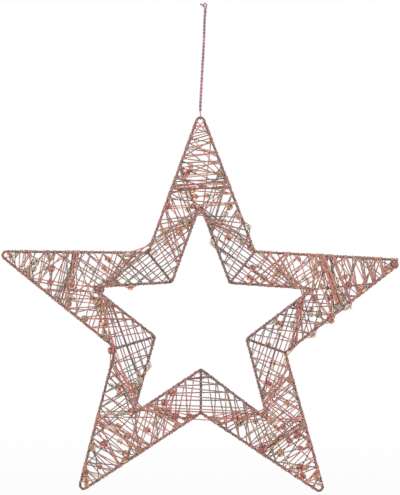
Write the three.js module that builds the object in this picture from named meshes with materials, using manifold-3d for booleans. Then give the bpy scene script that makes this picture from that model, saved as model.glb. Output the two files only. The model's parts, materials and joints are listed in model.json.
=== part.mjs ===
// A hanging Christmas star: two star outlines of bent wire, one inside the other, tied by five struts,
// laced with metallic thread that carries glass beads, and hung on a twisted thread with an eye.
// Lengths are millimetres and angles degrees. The star stands in the XZ plane and its front faces -Y.
// The origin is the inside top of the eye, where it rests on its nail.
import * as THREE from "three";
import { mergeVertices } from "three/addons/utils/BufferGeometryUtils.js";
import Module from "manifold-3d";

const wasm = await Module();
wasm.setup();

// Wire outlines, measured on the wires' centre lines to the sharp corners
const outerTipReach = 215.4;
const outerNotchReach = 89.9;
const innerTipReach = 118.6;
const innerNotchReach = 49.0;
const wireDiameter = 2.4;
const outerTipBend = 3.7;
const innerTipBend = 2.0;
const notchBend = 3.0;

// Hand bending: how far each corner strays from the regular star, from the top anticlockwise
const outerTipReachShares = [0.994, 1.018, 0.989, 1.002, 0.997];
const outerNotchReachShares = [0.98, 0.999, 1.017, 1.01, 1.0];
const innerTipReachShares = [1.015, 0.982, 0.98, 1.018, 1.004];
const innerNotchReachShares = [1.021, 0.987, 0.97, 1.011, 1.015];
const outerTipLeans = [0.1, -1.1, 0.3, -0.3, -1.0];
const outerNotchLeans = [1.0, -1.0, 0.1, -1.8, -1.4];
const innerTipLeans = [0.2, 0, -0.3, -1.4, -1.3];
const innerNotchLeans = [-0.3, -0.6, 0.5, -1.8, -0.6];

// Lacing thread and beads
const threadDiameter = 1.0;
const fit = 0.3;
const beadDiameters = { large: 6.4, medium: 6.0, small: 5.2 };
const beadLengthShare = 0.86;
const tipBeadTravel = 5.0;
const bandBeadTravel = 3.0;

// Hanging thread with its eye and its hitch
const hangerDiameter = 2.0;
const eyeWidth = 3.0;
const eyeHeight = 7.8;
const eyeKnotDiameter = 1.8;
const tailKnotDiameter = 1.9;
const tailKnotDrop = 2.8;
const tailReach = 3.8;
const tailRise = 1.8;
const hitchKnotDiameter = 2.9;
const hitchKnotHeight = 3.0;
const hitchDrop = 6.5;

// Route of the hanging thread below its eye, as pairs of x and z
const hangerRoute = [
  [0, 0],
  [-0.5, -5.8],
  [-0.9, -18.0],
  [-1.5, -33.2],
  [-2.4, -48.4],
  [-3.1, -60.6],
  [-3.8, -73.8],
  [-4.5, -86.0],
  [-5.0, -96.7],
];

// Counts of faces and turns
const armCount = 5;
const wireSides = 8;
const threadSides = 5;
const hangerSides = 8;
const hangerSteps = 20;
const tipBendSteps = 4;
const notchBendSteps = 2;
const loopBendSteps = 8;
const wrapCorners = 3;
const beadSegments = 10;
const beadArcSteps = 4;
const knotSegments = 10;
const fastBeadSegments = 6;
const strandsPerFastBead = 5;
const placeSteps = 100;

// Names, from the top anticlockwise
const armNames = ["top", "left", "lower_left", "lower_right", "right"];
const notchNames = ["upper_left", "left", "bottom", "right", "upper_right"];

// Where each kind of lacing starts and ends, as shares of the wire from its notch to its tip
const bandLacing = {
  turns: 6,
  innerStartShare: 0.09,
  innerEndShare: 0.87,
  outerStartShare: 0.06,
  outerEndShare: 0.67,
};
const fanLacing = {
  turns: 3,
  innerStartShare: 0.75,
  innerEndShare: 0.825,
  outerStartShare: 0.045,
  outerEndShare: 0.2,
};
const notchLacing = { turns: 4, startShare: 0.07, endShare: 0.7 };
const tipLacing = { turns: 8, startDrop: 6.0, endShare: 0.878 };

// Where the beads that are held fast sit on their strands: the first share of the stretch that they are
// spread over, the stretch's share of the strand, and the step from each bead's share to the next one's
const fastBeadScatter = { startShare: 0.22, spanShare: 0.56, stepShare: 0.618 };

// Values worked out from the sizes above
const wireRadius = wireDiameter / 2;
const threadRadius = threadDiameter / 2;
const hangerRadius = hangerDiameter / 2;
const innerLayer = wireRadius + fit + threadRadius;
const outerLayer = innerLayer + threadDiameter + fit;

const colours = {
  wire: 0x9a6257,
  pinkThread: 0xbe5a69,
  copperThread: 0xb45f46,
  greyThread: 0x82645f,
  mauveThread: 0xa87f88,
  goldBead: 0xb97d4b,
  copperBead: 0xcd784b,
  creamBead: 0xebd2b9,
  redBead: 0xb9464b,
  greenBead: 0xcdd2b4,
};

// A material of its own for each piece.
function finish(colour, roughness, metalness) {
  return new THREE.MeshStandardMaterial({ color: colour, roughness, metalness });
}

// A named mesh of one geometry and one finish.
function piece(name, geometry, material) {
  geometry.computeVertexNormals();
  const mesh = new THREE.Mesh(geometry, material);
  mesh.name = name;
  return mesh;
}

// The closed solid of a geometry, with its shared corners merged.
function solidOf(geometry) {
  const bare = geometry.clone();
  bare.deleteAttribute("normal");
  bare.deleteAttribute("uv");
  const merged = mergeVertices(bare);
  return new wasm.Manifold(
    new wasm.Mesh({
      numProp: 3,
      vertProperties: merged.getAttribute("position").array,
      triVerts: new Uint32Array(merged.index.array),
    }),
  );
}

// The geometry of a closed solid.
function geometryOf(solid) {
  const mesh = solid.getMesh();
  const geometry = new THREE.BufferGeometry();
  geometry.setAttribute("position", new THREE.BufferAttribute(mesh.vertProperties, mesh.numProp));
  geometry.setIndex(new THREE.BufferAttribute(mesh.triVerts, 1));
  return geometry;
}

// A point at a reach and an angle from the star's centre, in the star's plane.
function polar(reach, angle) {
  const turn = THREE.MathUtils.degToRad(angle);
  return new THREE.Vector2(reach * Math.cos(turn), reach * Math.sin(turn));
}

// A point of the star's plane, at a depth behind that plane.
function inSpace(point, depth = 0) {
  return new THREE.Vector3(point.x, depth, point.y);
}

// The ten sharp corners of a star outline: tip and notch by turns, from the top anticlockwise.
function starCorners(tipReach, notchReach, tipShares, notchShares, tipLeans, notchLeans) {
  const armAngle = 360 / armCount;
  const corners = [];
  for (let arm = 0; arm < armCount; arm++) {
    const tipAngle = 90 + arm * armAngle;
    const notchAngle = tipAngle + armAngle / 2;
    corners.push(polar(tipReach * tipShares[arm], tipAngle + tipLeans[arm]));
    corners.push(polar(notchReach * notchShares[arm], notchAngle + notchLeans[arm]));
  }
  return corners;
}

// The bend at one corner of an outline, as points along its arc.
function bendAt(before, corner, after, radius, steps) {
  const back = before.clone().sub(corner).normalize();
  const ahead = after.clone().sub(corner).normalize();
  const halfAngle = Math.acos(back.dot(ahead)) / 2;
  const middle = back.clone().add(ahead).normalize();
  const centre = middle.multiplyScalar(radius / Math.sin(halfAngle)).add(corner);
  const start = back.clone().multiplyScalar(radius / Math.tan(halfAngle)).add(corner);
  const turn = -Math.sign(back.cross(ahead)) * (Math.PI - 2 * halfAngle);
  const points = [];
  for (let step = 0; step <= steps; step++) {
    points.push(start.clone().rotateAround(centre, (turn * step) / steps));
  }
  return points;
}

// The bends of a whole outline, one list of points for each corner.
function outlineBends(corners, tipBend) {
  const count = corners.length;
  return corners.map((corner, index) => {
    const isTip = index % 2 === 0;
    const before = corners[(index + count - 1) % count];
    const after = corners[(index + 1) % count];
    const radius = isTip ? tipBend : notchBend;
    return bendAt(before, corner, after, radius, isTip ? tipBendSteps : notchBendSteps);
  });
}

// A round rod swept along a path of points, with mitred corners. A closed path gives a ring.
function sweptRod(path, radius, sides, closed = false) {
  const count = path.length;
  const runs = closed ? count : count - 1;
  const headings = [];
  for (let run = 0; run < runs; run++) {
    headings.push(path[(run + 1) % count].clone().sub(path[run]).normalize());
  }
  const normals = [sidewaysOf(headings[0])];
  for (let run = 1; run < runs; run++) {
    const swing = new THREE.Quaternion().setFromUnitVectors(headings[run - 1], headings[run]);
    normals.push(normals[run - 1].clone().applyQuaternion(swing));
  }
  const positions = [];
  for (let index = 0; index < count; index++) {
    const run = Math.min(index, runs - 1);
    const into = headings[closed ? (index + runs - 1) % runs : Math.max(index - 1, 0)];
    const heading = headings[run];
    const mitre = into.clone().add(heading).normalize();
    const across = new THREE.Vector3().crossVectors(heading, normals[run]);
    for (let side = 0; side < sides; side++) {
      const angle = (2 * Math.PI * side) / sides;
      const offset = normals[run].clone().multiplyScalar(radius * Math.cos(angle));
      offset.addScaledVector(across, radius * Math.sin(angle));
      offset.addScaledVector(heading, -offset.dot(mitre) / heading.dot(mitre));
      positions.push(...offset.add(path[index]).toArray());
    }
  }
  const faces = [];
  for (let run = 0; run < runs; run++) {
    for (let side = 0; side < sides; side++) {
      const next = (side + 1) % sides;
      const here = run * sides;
      const there = ((run + 1) % count) * sides;
      faces.push(here + side, here + next, there + next);
      faces.push(here + side, there + next, there + side);
    }
  }
  if (!closed) {
    const last = (count - 1) * sides;
    for (let side = 1; side < sides - 1; side++) {
      faces.push(0, side + 1, side);
      faces.push(last, last + side, last + side + 1);
    }
  }
  const geometry = new THREE.BufferGeometry();
  geometry.setAttribute("position", new THREE.Float32BufferAttribute(positions, 3));
  geometry.setIndex(faces);
  return geometry;
}

// A direction square to a heading, along the star's depth unless the heading runs that way.
function sidewaysOf(heading) {
  const depth = new THREE.Vector3(0, 1, 0);
  const guide = Math.abs(heading.dot(depth)) < Math.SQRT1_2 ? depth : new THREE.Vector3(1, 0, 0);
  return guide.addScaledVector(heading, -guide.dot(heading)).normalize();
}

// One straight side of a wire outline, from its notch to its tip, with the way its wraps bulge.
function wireSide(corners, notchIndex, tipIndex, bulge) {
  const count = corners.length;
  const notch = corners[(notchIndex + count) % count];
  const tip = corners[(tipIndex + count) % count];
  const along = tip.clone().sub(notch).normalize();
  const out = new THREE.Vector2(along.y, -along.x);
  if (out.dot(notch) < 0) out.negate();
  return { notch, along, out: out.multiplyScalar(bulge), length: tip.distanceTo(notch), tip };
}

// A point on a wire side, at a distance from its notch.
function pointOn(side, distance) {
  return side.along.clone().multiplyScalar(distance).add(side.notch);
}

// The corners of half a turn round a wire, from the front to the back, clear of the wire all the way.
function wrapPath(side, distance, layer) {
  const stepAngle = Math.PI / wrapCorners;
  const reach = layer / Math.cos(stepAngle / 2);
  const centre = pointOn(side, distance);
  const corners = [];
  for (let index = 0; index < wrapCorners; index++) {
    const angle = (index - (wrapCorners - 1) / 2) * stepAngle;
    const place = side.out.clone().multiplyScalar(reach * Math.cos(angle)).add(centre);
    corners.push(inSpace(place, reach * Math.sin(angle)));
  }
  return corners;
}

// One lacing: a thread laid as a flat helix round two wire sides, across the front from the first side
// to the second and across the back to the first again, climbing half a pitch each time.
function layLacing(name, first, second, spans, turns, layer) {
  const path = [];
  const strands = { front: [], back: [] };
  for (let turn = 0; turn <= turns; turn++) {
    const share = turn / turns;
    const wrap = wrapPath(first, THREE.MathUtils.lerp(...spans.first, share), layer);
    if (turn > 0) strands.back[turn - 1].push(wrap[wrap.length - 1]);
    if (turn > 0 && turn < turns) path.push(...wrap.slice().reverse());
    if (turn === 0) path.push(wrap[0]);
    if (turn === turns) path.push(wrap[wrap.length - 1]);
    if (turn < turns) {
      const halfWay = (turn + 0.5) / turns;
      const turnBack = wrapPath(second, THREE.MathUtils.lerp(...spans.second, halfWay), layer);
      path.push(...turnBack);
      strands.front.push([wrap[0], turnBack[0]]);
      strands.back.push([turnBack[turnBack.length - 1]]);
    }
  }
  return { name, path, strands };
}

// The least gap of a thread to itself, measured between points spread along its path.
function leastGap(path) {
  const points = [];
  let travelled = 0;
  for (let run = 0; run < path.length - 1; run++) {
    const length = path[run].distanceTo(path[run + 1]);
    const steps = Math.ceil(length / threadRadius);
    for (let step = 0; step < steps; step++) {
      const place = path[run].clone().lerp(path[run + 1], step / steps);
      points.push({ place, travel: travelled + (length * step) / steps });
    }
    travelled += length;
  }
  const nearby = 2 * Math.PI * outerLayer;
  let least = Infinity;
  points.forEach((point, index) => {
    for (let other = index + 1; other < points.length; other++) {
      if (points[other].travel - point.travel < nearby) continue;
      least = Math.min(least, points[other].place.distanceTo(point.place));
    }
  });
  return least - threadDiameter;
}

// The outline of a bead's barrel from end to end, its ends at a given radius.
function barrelProfile(diameter, endRadius) {
  const halfLength = (diameter * beadLengthShare) / 2;
  const profile = [];
  for (let step = 0; step <= beadArcSteps; step++) {
    const angle = Math.PI * (step / beadArcSteps - 0.5);
    const across = endRadius + (diameter / 2 - endRadius) * Math.cos(angle);
    profile.push(new THREE.Vector2(across, halfLength * Math.sin(angle)));
  }
  return profile;
}

// A loose bead with its bore along Y: a rounded barrel whose wall closes on itself.
function beadGeometry(diameter) {
  const profile = barrelProfile(diameter, threadRadius + fit);
  profile.push(profile[0].clone());
  return new THREE.LatheGeometry(profile, beadSegments);
}

// A bead that its thread fills, so that it is held fast.
function fastBeadGeometry(diameter) {
  return new THREE.LatheGeometry(barrelProfile(diameter, 0), fastBeadSegments);
}

// A knot of two turns pulled tight, as a turned body with a waist, its axis along Y.
function knotGeometry(diameter, height) {
  const radiusShares = [0, 0.55, 0.95, 1, 0.78, 1, 0.95, 0.55, 0];
  const heightShares = [-0.5, -0.48, -0.36, -0.2, 0, 0.2, 0.36, 0.48, 0.5];
  const profile = radiusShares.map(
    (share, index) => new THREE.Vector2((share * diameter) / 2, heightShares[index] * height),
  );
  return new THREE.LatheGeometry(profile, knotSegments);
}

// A loop of thread that hangs from a point above a round middle: down one side, round and up the other.
function loopPath(radius, pointHeight) {
  const startAngle = Math.acos(radius / pointHeight);
  const stepAngle = (2 * Math.PI - 2 * startAngle) / loopBendSteps;
  const reach = radius / Math.cos(stepAngle / 2);
  const path = [new THREE.Vector2(0, pointHeight)];
  for (let step = 0; step < loopBendSteps; step++) {
    const angle = startAngle + (step + 0.5) * stepAngle;
    path.push(new THREE.Vector2(reach * Math.sin(angle), reach * Math.cos(angle)));
  }
  path.push(new THREE.Vector2(0, pointHeight));
  return path;
}

// Places down the hanger: the eye, the thread and the hitch round the apex wire
const eyeLoopRadius = eyeWidth / 2;
const eyeLoopCentre = threadRadius - eyeLoopRadius;
const eyeKnotHeight = threadRadius - eyeHeight;
const hangerTop = new THREE.Vector3(0, 0, eyeKnotHeight - eyeKnotDiameter / 2 - fit);
const hangerCurve = new THREE.CatmullRomCurve3(
  hangerRoute.map(([x, z]) => new THREE.Vector3(x, 0, z).add(hangerTop)),
);
const hangerEnd = hangerCurve.points[hangerCurve.points.length - 1];
const hitchKnotPlace = hangerEnd.clone().add(new THREE.Vector3(0, 0, -fit - hitchKnotHeight / 2));
const apexWirePlace = hitchKnotPlace.clone().add(new THREE.Vector3(0, 0, -hitchKnotHeight / 2 - hitchDrop));

// The eye at the top: a loop drawn together in a small knot, with the cut end tied to its left leg.
function makeEye() {
  const depthTurn = new THREE.Matrix4().makeRotationX(Math.PI / 2);
  const loop = loopPath(eyeLoopRadius, eyeLoopCentre - eyeKnotHeight).map(
    (point) => new THREE.Vector3(point.x, 0, eyeLoopCentre - point.y),
  );
  const knot = new THREE.SphereGeometry(eyeKnotDiameter / 2, knotSegments, knotSegments / 2);
  knot.translate(0, 0, eyeKnotHeight);
  const tailKnotPlace = new THREE.Vector3(-eyeLoopRadius, 0, threadRadius - tailKnotDrop);
  const tailKnot = knotGeometry(tailKnotDiameter, tailKnotDiameter);
  tailKnot.applyMatrix4(depthTurn);
  tailKnot.translate(...tailKnotPlace.toArray());
  const tailEnd = tailKnotPlace.clone().add(new THREE.Vector3(-tailReach, 0, tailRise));
  const tail = sweptRod([tailKnotPlace, tailEnd], threadRadius, hangerSides);
  const eye = solidOf(sweptRod(loop, threadRadius, hangerSides))
    .add(solidOf(knot))
    .add(solidOf(tailKnot))
    .add(solidOf(tail));
  return piece("hanging_eye", geometryOf(eye), finish(colours.mauveThread, 0.6, 0.2));
}

// The free stretch of the hanging thread, two strands twisted together, as a plain tube.
function makeHangingThread() {
  const corners = Array.from({ length: hangerSides }, (_, side) =>
    polar(hangerRadius, (360 * side) / hangerSides),
  );
  const section = new THREE.Shape(corners);
  const tube = new THREE.ExtrudeGeometry(section, {
    steps: hangerSteps,
    extrudePath: hangerCurve,
    bevelEnabled: false,
  });
  return piece("hanging_thread", tube, finish(colours.mauveThread, 0.6, 0.2));
}

// The hitch: the thread's loop round the wire at the apex, and the knot that closes it.
function makeHitch() {
  const knotRise = hitchDrop + hitchKnotHeight / 2;
  const loop = loopPath(innerLayer, knotRise).map(
    (point) => new THREE.Vector3(0, point.x, point.y - knotRise),
  );
  const knot = knotGeometry(hitchKnotDiameter, hitchKnotHeight);
  knot.applyMatrix4(new THREE.Matrix4().makeRotationX(Math.PI / 2));
  const hitch = solidOf(sweptRod(loop, threadRadius, hangerSides)).add(solidOf(knot));
  const mesh = piece("apex_hitch", geometryOf(hitch), finish(colours.greyThread, 0.6, 0.2));
  mesh.position.copy(hitchKnotPlace);
  return mesh;
}

// The two outlines
const outerCorners = starCorners(
  outerTipReach,
  outerNotchReach,
  outerTipReachShares,
  outerNotchReachShares,
  outerTipLeans,
  outerNotchLeans,
);
const innerCorners = starCorners(
  innerTipReach,
  innerNotchReach,
  innerTipReachShares,
  innerNotchReachShares,
  innerTipLeans,
  innerNotchLeans,
);
const outerBends = outlineBends(outerCorners, outerTipBend);
const innerBends = outlineBends(innerCorners, innerTipBend);

// The path of the wire that follows an outline's bends, without its closing run.
function outlinePath(bends) {
  return bends.flat().map((point) => inSpace(point));
}

// The ring of wire that follows an outline's bends.
function wireRing(bends, radius) {
  return sweptRod(outlinePath(bends), radius, wireSides, true);
}

// The middle point of a bend.
function middleOf(bend) {
  return bend[(bend.length - 1) / 2];
}

// A strut from the outer notch to the inner one, its ends coped to the wires that they are welded to.
function makeStrut(index) {
  const outer = inSpace(middleOf(outerBends[2 * index + 1]));
  const inner = inSpace(middleOf(innerBends[2 * index + 1]));
  const rod = solidOf(sweptRod([outer, inner], wireRadius, wireSides));
  const coped = rod
    .subtract(solidOf(wireRing(outerBends, wireRadius + fit)))
    .subtract(solidOf(wireRing(innerBends, wireRadius + fit)));
  return piece(notchNames[index] + "_strut", geometryOf(coped), finish(colours.wire, 0.45, 0.7));
}

// The wire sides of one arm, seen with its tip turned up: left lies anticlockwise.
function sidesOfArm(arm) {
  const tip = 2 * arm;
  const sidesFrom = (notch) => ({
    outer: wireSide(outerCorners, notch, tip, 1),
    inner: wireSide(innerCorners, notch, tip, -1),
  });
  return { left: sidesFrom(tip + 1), right: sidesFrom(tip - 1) };
}

// The stretch of a wire side between two shares of its length.
function stretch(side, startShare, endShare) {
  return [side.length * startShare, side.length * endShare];
}

// The distance along a wire side at which it stands as high in its arm as a given height.
function distanceAtHeight(side, height) {
  const axis = side.tip.clone().normalize();
  const start = side.notch.dot(axis);
  return (side.length * (height - start)) / (side.tip.dot(axis) - start);
}

// The lacings of one arm: a band and a fan on each side, and the zigzag of its tip.
function lacingsOfArm(arm) {
  const sides = sidesOfArm(arm);
  const lacings = [];
  for (const [sideName, { outer, inner }] of Object.entries(sides)) {
    const label = armNames[arm] + "_" + sideName;
    const band = bandLacing;
    const bandSpans = {
      first: stretch(inner, band.innerStartShare, band.innerEndShare),
      second: stretch(outer, band.outerStartShare, band.outerEndShare),
    };
    lacings.push(layLacing(label + "_band_lacing", inner, outer, bandSpans, band.turns, innerLayer));
    const fan = fanLacing;
    const fanSpans = {
      first: stretch(outer, fan.outerStartShare, fan.outerEndShare),
      second: stretch(inner, fan.innerStartShare, fan.innerEndShare),
    };
    lacings.push(layLacing(label + "_fan_lacing", outer, inner, fanSpans, fan.turns, outerLayer));
  }
  const startHeight = innerTipReach * innerTipReachShares[arm] - tipLacing.startDrop;
  const tipSpan = (side) => [distanceAtHeight(side, startHeight), side.length * tipLacing.endShare];
  const tipSpans = { first: tipSpan(sides.left.outer), second: tipSpan(sides.right.outer) };
  lacings.push(
    layLacing(
      armNames[arm] + "_tip_lacing",
      sides.left.outer,
      sides.right.outer,
      tipSpans,
      tipLacing.turns,
      outerLayer,
    ),
  );
  return lacings;
}

// The lacing across one notch's strut, between the inner wires on its two sides.
function lacingOfNotch(index) {
  const before = sidesOfArm(index).left.inner;
  const after = sidesOfArm((index + 1) % armCount).right.inner;
  const { startShare, endShare, turns } = notchLacing;
  const spans = {
    first: stretch(before, startShare, endShare),
    second: stretch(after, startShare, endShare),
  };
  return layLacing(notchNames[index] + "_notch_lacing", before, after, spans, turns, outerLayer);
}

const lacings = new Map();
for (let index = 0; index < armCount; index++) {
  for (const lacing of [...lacingsOfArm(index), lacingOfNotch(index)]) {
    lacings.set(lacing.name, lacing);
  }
}

// Loose beads: each one's name, the lacing, face and strand that it is threaded on, where along the strand
// it sits as a share of its length, its size and its colour
const looseBeadShares = [
  ["top_bead_1", "top_tip_lacing", "front", 4, 0.3, "medium", "copperBead"],
  ["top_bead_2", "top_tip_lacing", "front", 2, 0.517, "medium", "redBead"],
  ["top_bead_3", "top_left_band_lacing", "back", 4, 0.683, "small", "goldBead"],
  ["top_bead_4", "top_right_band_lacing", "front", 3, 0.59, "medium", "creamBead"],
  ["left_bead_1", "left_tip_lacing", "front", 6, 0.4, "small", "goldBead"],
  ["left_bead_2", "left_tip_lacing", "back", 4, 0.5, "medium", "creamBead"],
  ["left_bead_3", "left_right_band_lacing", "back", 3, 0.508, "medium", "goldBead"],
  ["left_bead_4", "left_left_band_lacing", "back", 4, 0.708, "medium", "copperBead"],
  ["lower_left_bead_1", "lower_left_tip_lacing", "front", 6, 0.45, "small", "redBead"],
  ["lower_left_bead_2", "lower_left_tip_lacing", "front", 3, 0.45, "large", "creamBead"],
  ["lower_left_bead_3", "lower_left_left_band_lacing", "back", 3, 0.45, "medium", "greenBead"],
  ["lower_left_bead_4", "lower_left_right_band_lacing", "front", 3, 0.55, "medium", "copperBead"],
  ["lower_right_bead_1", "lower_right_tip_lacing", "front", 6, 0.5, "medium", "goldBead"],
  ["lower_right_bead_2", "lower_right_tip_lacing", "front", 3, 0.45, "large", "redBead"],
  ["lower_right_bead_3", "lower_right_right_band_lacing", "back", 4, 0.7, "medium", "copperBead"],
  ["lower_right_bead_4", "lower_right_left_band_lacing", "front", 1, 0.475, "small", "creamBead"],
  ["right_bead_1", "right_tip_lacing", "back", 3, 0.55, "medium", "copperBead"],
  ["right_bead_2", "right_tip_lacing", "front", 1, 0.517, "large", "goldBead"],
  ["right_bead_3", "right_left_band_lacing", "back", 4, 0.69, "medium", "creamBead"],
  ["right_bead_4", "right_right_band_lacing", "front", 3, 0.575, "small", "greenBead"],
];

// The straight runs of a thread's or a wire's path, each with its radius.
function runsOf(path, radius) {
  return path.slice(1).map((end, index) => ({ line: new THREE.Line3(path[index], end), radius }));
}

const runs = [
  ...[...lacings.values()].flatMap((lacing) => runsOf(lacing.path, threadRadius)),
  ...runsOf(outlinePath(outerBends), wireRadius),
  ...runsOf(outlinePath(innerBends), wireRadius),
];

// The room round a place on a strand, up to the nearest other thread or wire.
function roomAt(place, strand) {
  const nearest = new THREE.Vector3();
  let room = Infinity;
  for (const { line, radius } of runs) {
    if (strand.includes(line.start) && strand.includes(line.end)) continue;
    line.closestPointToPoint(place, true, nearest);
    room = Math.min(room, nearest.distanceTo(place) - radius);
  }
  return room;
}

// The middle of a bead, the turn that lays its bore along its strand, and its size, where it sits as near
// to its own share of the strand as the threads that cross it leave room. The room left is given too.
function seatBead(strand, placeShare, diameter) {
  const shares = [placeShare];
  for (let step = 1; step <= placeSteps; step++) {
    shares.push(placeShare + step / placeSteps, placeShare - step / placeSteps);
  }
  const line = new THREE.Line3(...strand);
  const places = shares
    .filter((share) => share > 0 && share < 1)
    .map((share) => line.at(share, new THREE.Vector3()));
  const rooms = places.map((place) => roomAt(place, strand) - diameter / 2);
  const clear = rooms.findIndex((room) => room >= fit);
  const index = clear < 0 ? rooms.indexOf(Math.max(...rooms)) : clear;
  const heading = line.delta(new THREE.Vector3()).normalize();
  const turn = new THREE.Quaternion().setFromUnitVectors(new THREE.Vector3(0, 1, 0), heading);
  return { place: places[index], room: rooms[index], heading, turn, diameter };
}

// Keeps the space that a bead takes, with its travel along its strand, from the beads placed after it.
function keepRoom(bead, travel) {
  const reach = (bead.diameter * beadLengthShare) / 2 + travel;
  const ends = [-reach, reach].map((distance) => bead.place.clone().addScaledVector(bead.heading, distance));
  runs.push({ line: new THREE.Line3(...ends), radius: bead.diameter / 2 });
}

// A loose bead on its strand.
function makeLooseBead([name, lacingName, face, strandIndex, placeShare, size, colour]) {
  const strand = lacings.get(lacingName).strands[face][strandIndex];
  const bead = seatBead(strand, placeShare, beadDiameters[size]);
  keepRoom(bead, lacingName.endsWith("tip_lacing") ? tipBeadTravel : bandBeadTravel);
  takenStrands.add(strand);
  const mesh = piece(name, beadGeometry(bead.diameter), finish(colours[colour], 0.15, 0.1));
  mesh.position.copy(bead.place);
  mesh.quaternion.copy(bead.turn);
  return mesh;
}

const takenStrands = new Set();
const looseBeads = looseBeadShares.map((bead) => makeLooseBead(bead));

// The beads that a lacing holds fast: one on every few strands, front and back by turns, where there is room.
function fastBeadsOf(lacing, lacingIndex) {
  const sizes = Object.values(beadDiameters);
  const strands = lacing.strands.front.flatMap((strand, index) => [strand, lacing.strands.back[index]]);
  const beads = [];
  for (let index = lacingIndex % strandsPerFastBead; index < strands.length; index += strandsPerFastBead) {
    if (takenStrands.has(strands[index])) continue;
    const order = lacingIndex * strandsPerFastBead + index;
    const { startShare, spanShare, stepShare } = fastBeadScatter;
    const placeShare = startShare + spanShare * ((order * stepShare) % 1);
    const bead = seatBead(strands[index], placeShare, sizes[order % sizes.length]);
    if (bead.room < fit) continue;
    keepRoom(bead, 0);
    beads.push(bead);
  }
  return beads;
}

[...lacings.values()].forEach((lacing, index) => {
  lacing.fastBeads = fastBeadsOf(lacing, index);
});

const threadColours = [colours.pinkThread, colours.copperThread, colours.greyThread];

// A lacing's thread as one unbroken rod, with the beads that it holds fast.
function makeLacing(lacing, index) {
  const colour = threadColours[index % threadColours.length];
  const rod = solidOf(sweptRod(lacing.path, threadRadius, threadSides));
  const laced = lacing.fastBeads.reduce((solid, bead) => {
    const barrel = fastBeadGeometry(bead.diameter);
    return solid.add(solidOf(barrel.applyQuaternion(bead.turn).translate(...bead.place.toArray())));
  }, rod);
  return piece(lacing.name, geometryOf(laced), finish(colour, 0.5, 0.4));
}

// The star hangs so that the middle of its top bend lies in the hitch.
const star = new THREE.Group();
star.position.copy(apexWirePlace).sub(inSpace(middleOf(outerBends[0])));
star.add(piece("outer_star_wire", wireRing(outerBends, wireRadius), finish(colours.wire, 0.45, 0.7)));
star.add(piece("inner_star_wire", wireRing(innerBends, wireRadius), finish(colours.wire, 0.45, 0.7)));
for (let index = 0; index < armCount; index++) star.add(makeStrut(index));
[...lacings.values()].forEach((lacing, index) => star.add(makeLacing(lacing, index)));
star.add(...looseBeads);

const leastGaps = [...lacings.values()].map((lacing) => leastGap(lacing.path));
console.log("least gap of a lacing to itself: " + Math.min(...leastGaps).toFixed(2) + " mm");

const hangingStar = new THREE.Group();
hangingStar.add(makeEye(), makeHangingThread(), makeHitch(), star);

export default hangingStar;
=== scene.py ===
"""Looks of the hanging star: wire, wound and laced metallic thread, glass beads and a twisted hanger.

The star's plan is worked out in millimetres on its own plane, x to the right and y up, from the star's
centre. Meshes are made in metres in the frame's axes, with the front to -Y.
"""

import itertools
import json
import logging
import math
import random
from dataclasses import dataclass, field
from enum import Enum
from functools import cache
from typing import Iterable, Optional, Sequence

import bpy
import numpy as np
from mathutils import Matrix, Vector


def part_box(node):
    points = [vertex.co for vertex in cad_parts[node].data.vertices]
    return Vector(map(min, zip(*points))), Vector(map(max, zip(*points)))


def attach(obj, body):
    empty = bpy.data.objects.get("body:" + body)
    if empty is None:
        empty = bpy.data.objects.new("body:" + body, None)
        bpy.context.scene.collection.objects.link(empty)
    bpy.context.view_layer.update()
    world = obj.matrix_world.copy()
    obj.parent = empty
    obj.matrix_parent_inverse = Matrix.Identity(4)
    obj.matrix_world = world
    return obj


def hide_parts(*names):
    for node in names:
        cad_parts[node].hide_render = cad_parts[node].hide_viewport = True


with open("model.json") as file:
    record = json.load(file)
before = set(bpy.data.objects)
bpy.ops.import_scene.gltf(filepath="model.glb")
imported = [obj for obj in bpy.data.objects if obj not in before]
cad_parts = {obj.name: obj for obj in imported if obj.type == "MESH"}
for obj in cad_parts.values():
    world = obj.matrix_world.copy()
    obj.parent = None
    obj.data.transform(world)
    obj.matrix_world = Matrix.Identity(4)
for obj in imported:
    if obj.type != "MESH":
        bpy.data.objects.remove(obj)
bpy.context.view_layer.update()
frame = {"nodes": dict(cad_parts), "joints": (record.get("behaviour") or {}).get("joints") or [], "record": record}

LOG = logging.getLogger("star")
MM = 0.001
Vec = np.ndarray
Pair = tuple[float, float]
Colour = tuple[int, int, int]
Socket, Material = bpy.types.NodeSocket, bpy.types.Material
NodeTree, Mesh = bpy.types.NodeTree, bpy.types.Mesh
Piece = bpy.types.Object
NUMBER, GEOMETRY = "NodeSocketFloat", "NodeSocketGeometry"
WHITE = (1, 1, 1, 1)
WHOLE_TURN = 2 * math.pi
# How fast a winding's unevenness drifts from turn to turn, and how much shorter its colours' waves are
COIL_DRIFT, COIL_RUN = 0.13, 4.0
# The furthest that a knot's plain curve reaches from its axis
KNOT_REACH = 3
# Points at which a straight thread is tried against a bead's slide
LINE_SAMPLES = 60


class ThreadColour(Enum):
    """The yarns, by their slots in the record."""

    PINK = "pink_thread"
    COPPER = "copper_thread"
    GREY = "grey_thread"
    MAUVE = "hanging_thread"


class BeadColour(Enum):
    """The glass beads, by their slots in the record."""

    GOLD = "gold_bead"
    COPPER = "copper_bead"
    CREAM = "cream_bead"
    RED = "red_bead"
    GREEN = "green_bead"


class Face(Enum):
    """The side of the star that a strand crosses on; the value is the sign of its depth."""

    FRONT = -1
    BACK = 1


# The yarns' short names in the table of threads and the draws
P, C, G = ThreadColour.PINK, ThreadColour.COPPER, ThreadColour.GREY
GOLD, COPPER, CREAM, RED, GREEN = BeadColour

ARM_NAMES = ("top", "left", "lower_left", "lower_right", "right")
NOTCH_NAMES = ("upper_left", "left", "bottom", "right", "upper_right")
ARMS = len(ARM_NAMES)
# The angles of the top arm and from one arm to the next, in degrees
UPRIGHT, ARM_STEP = 90, 360 / ARMS

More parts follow.
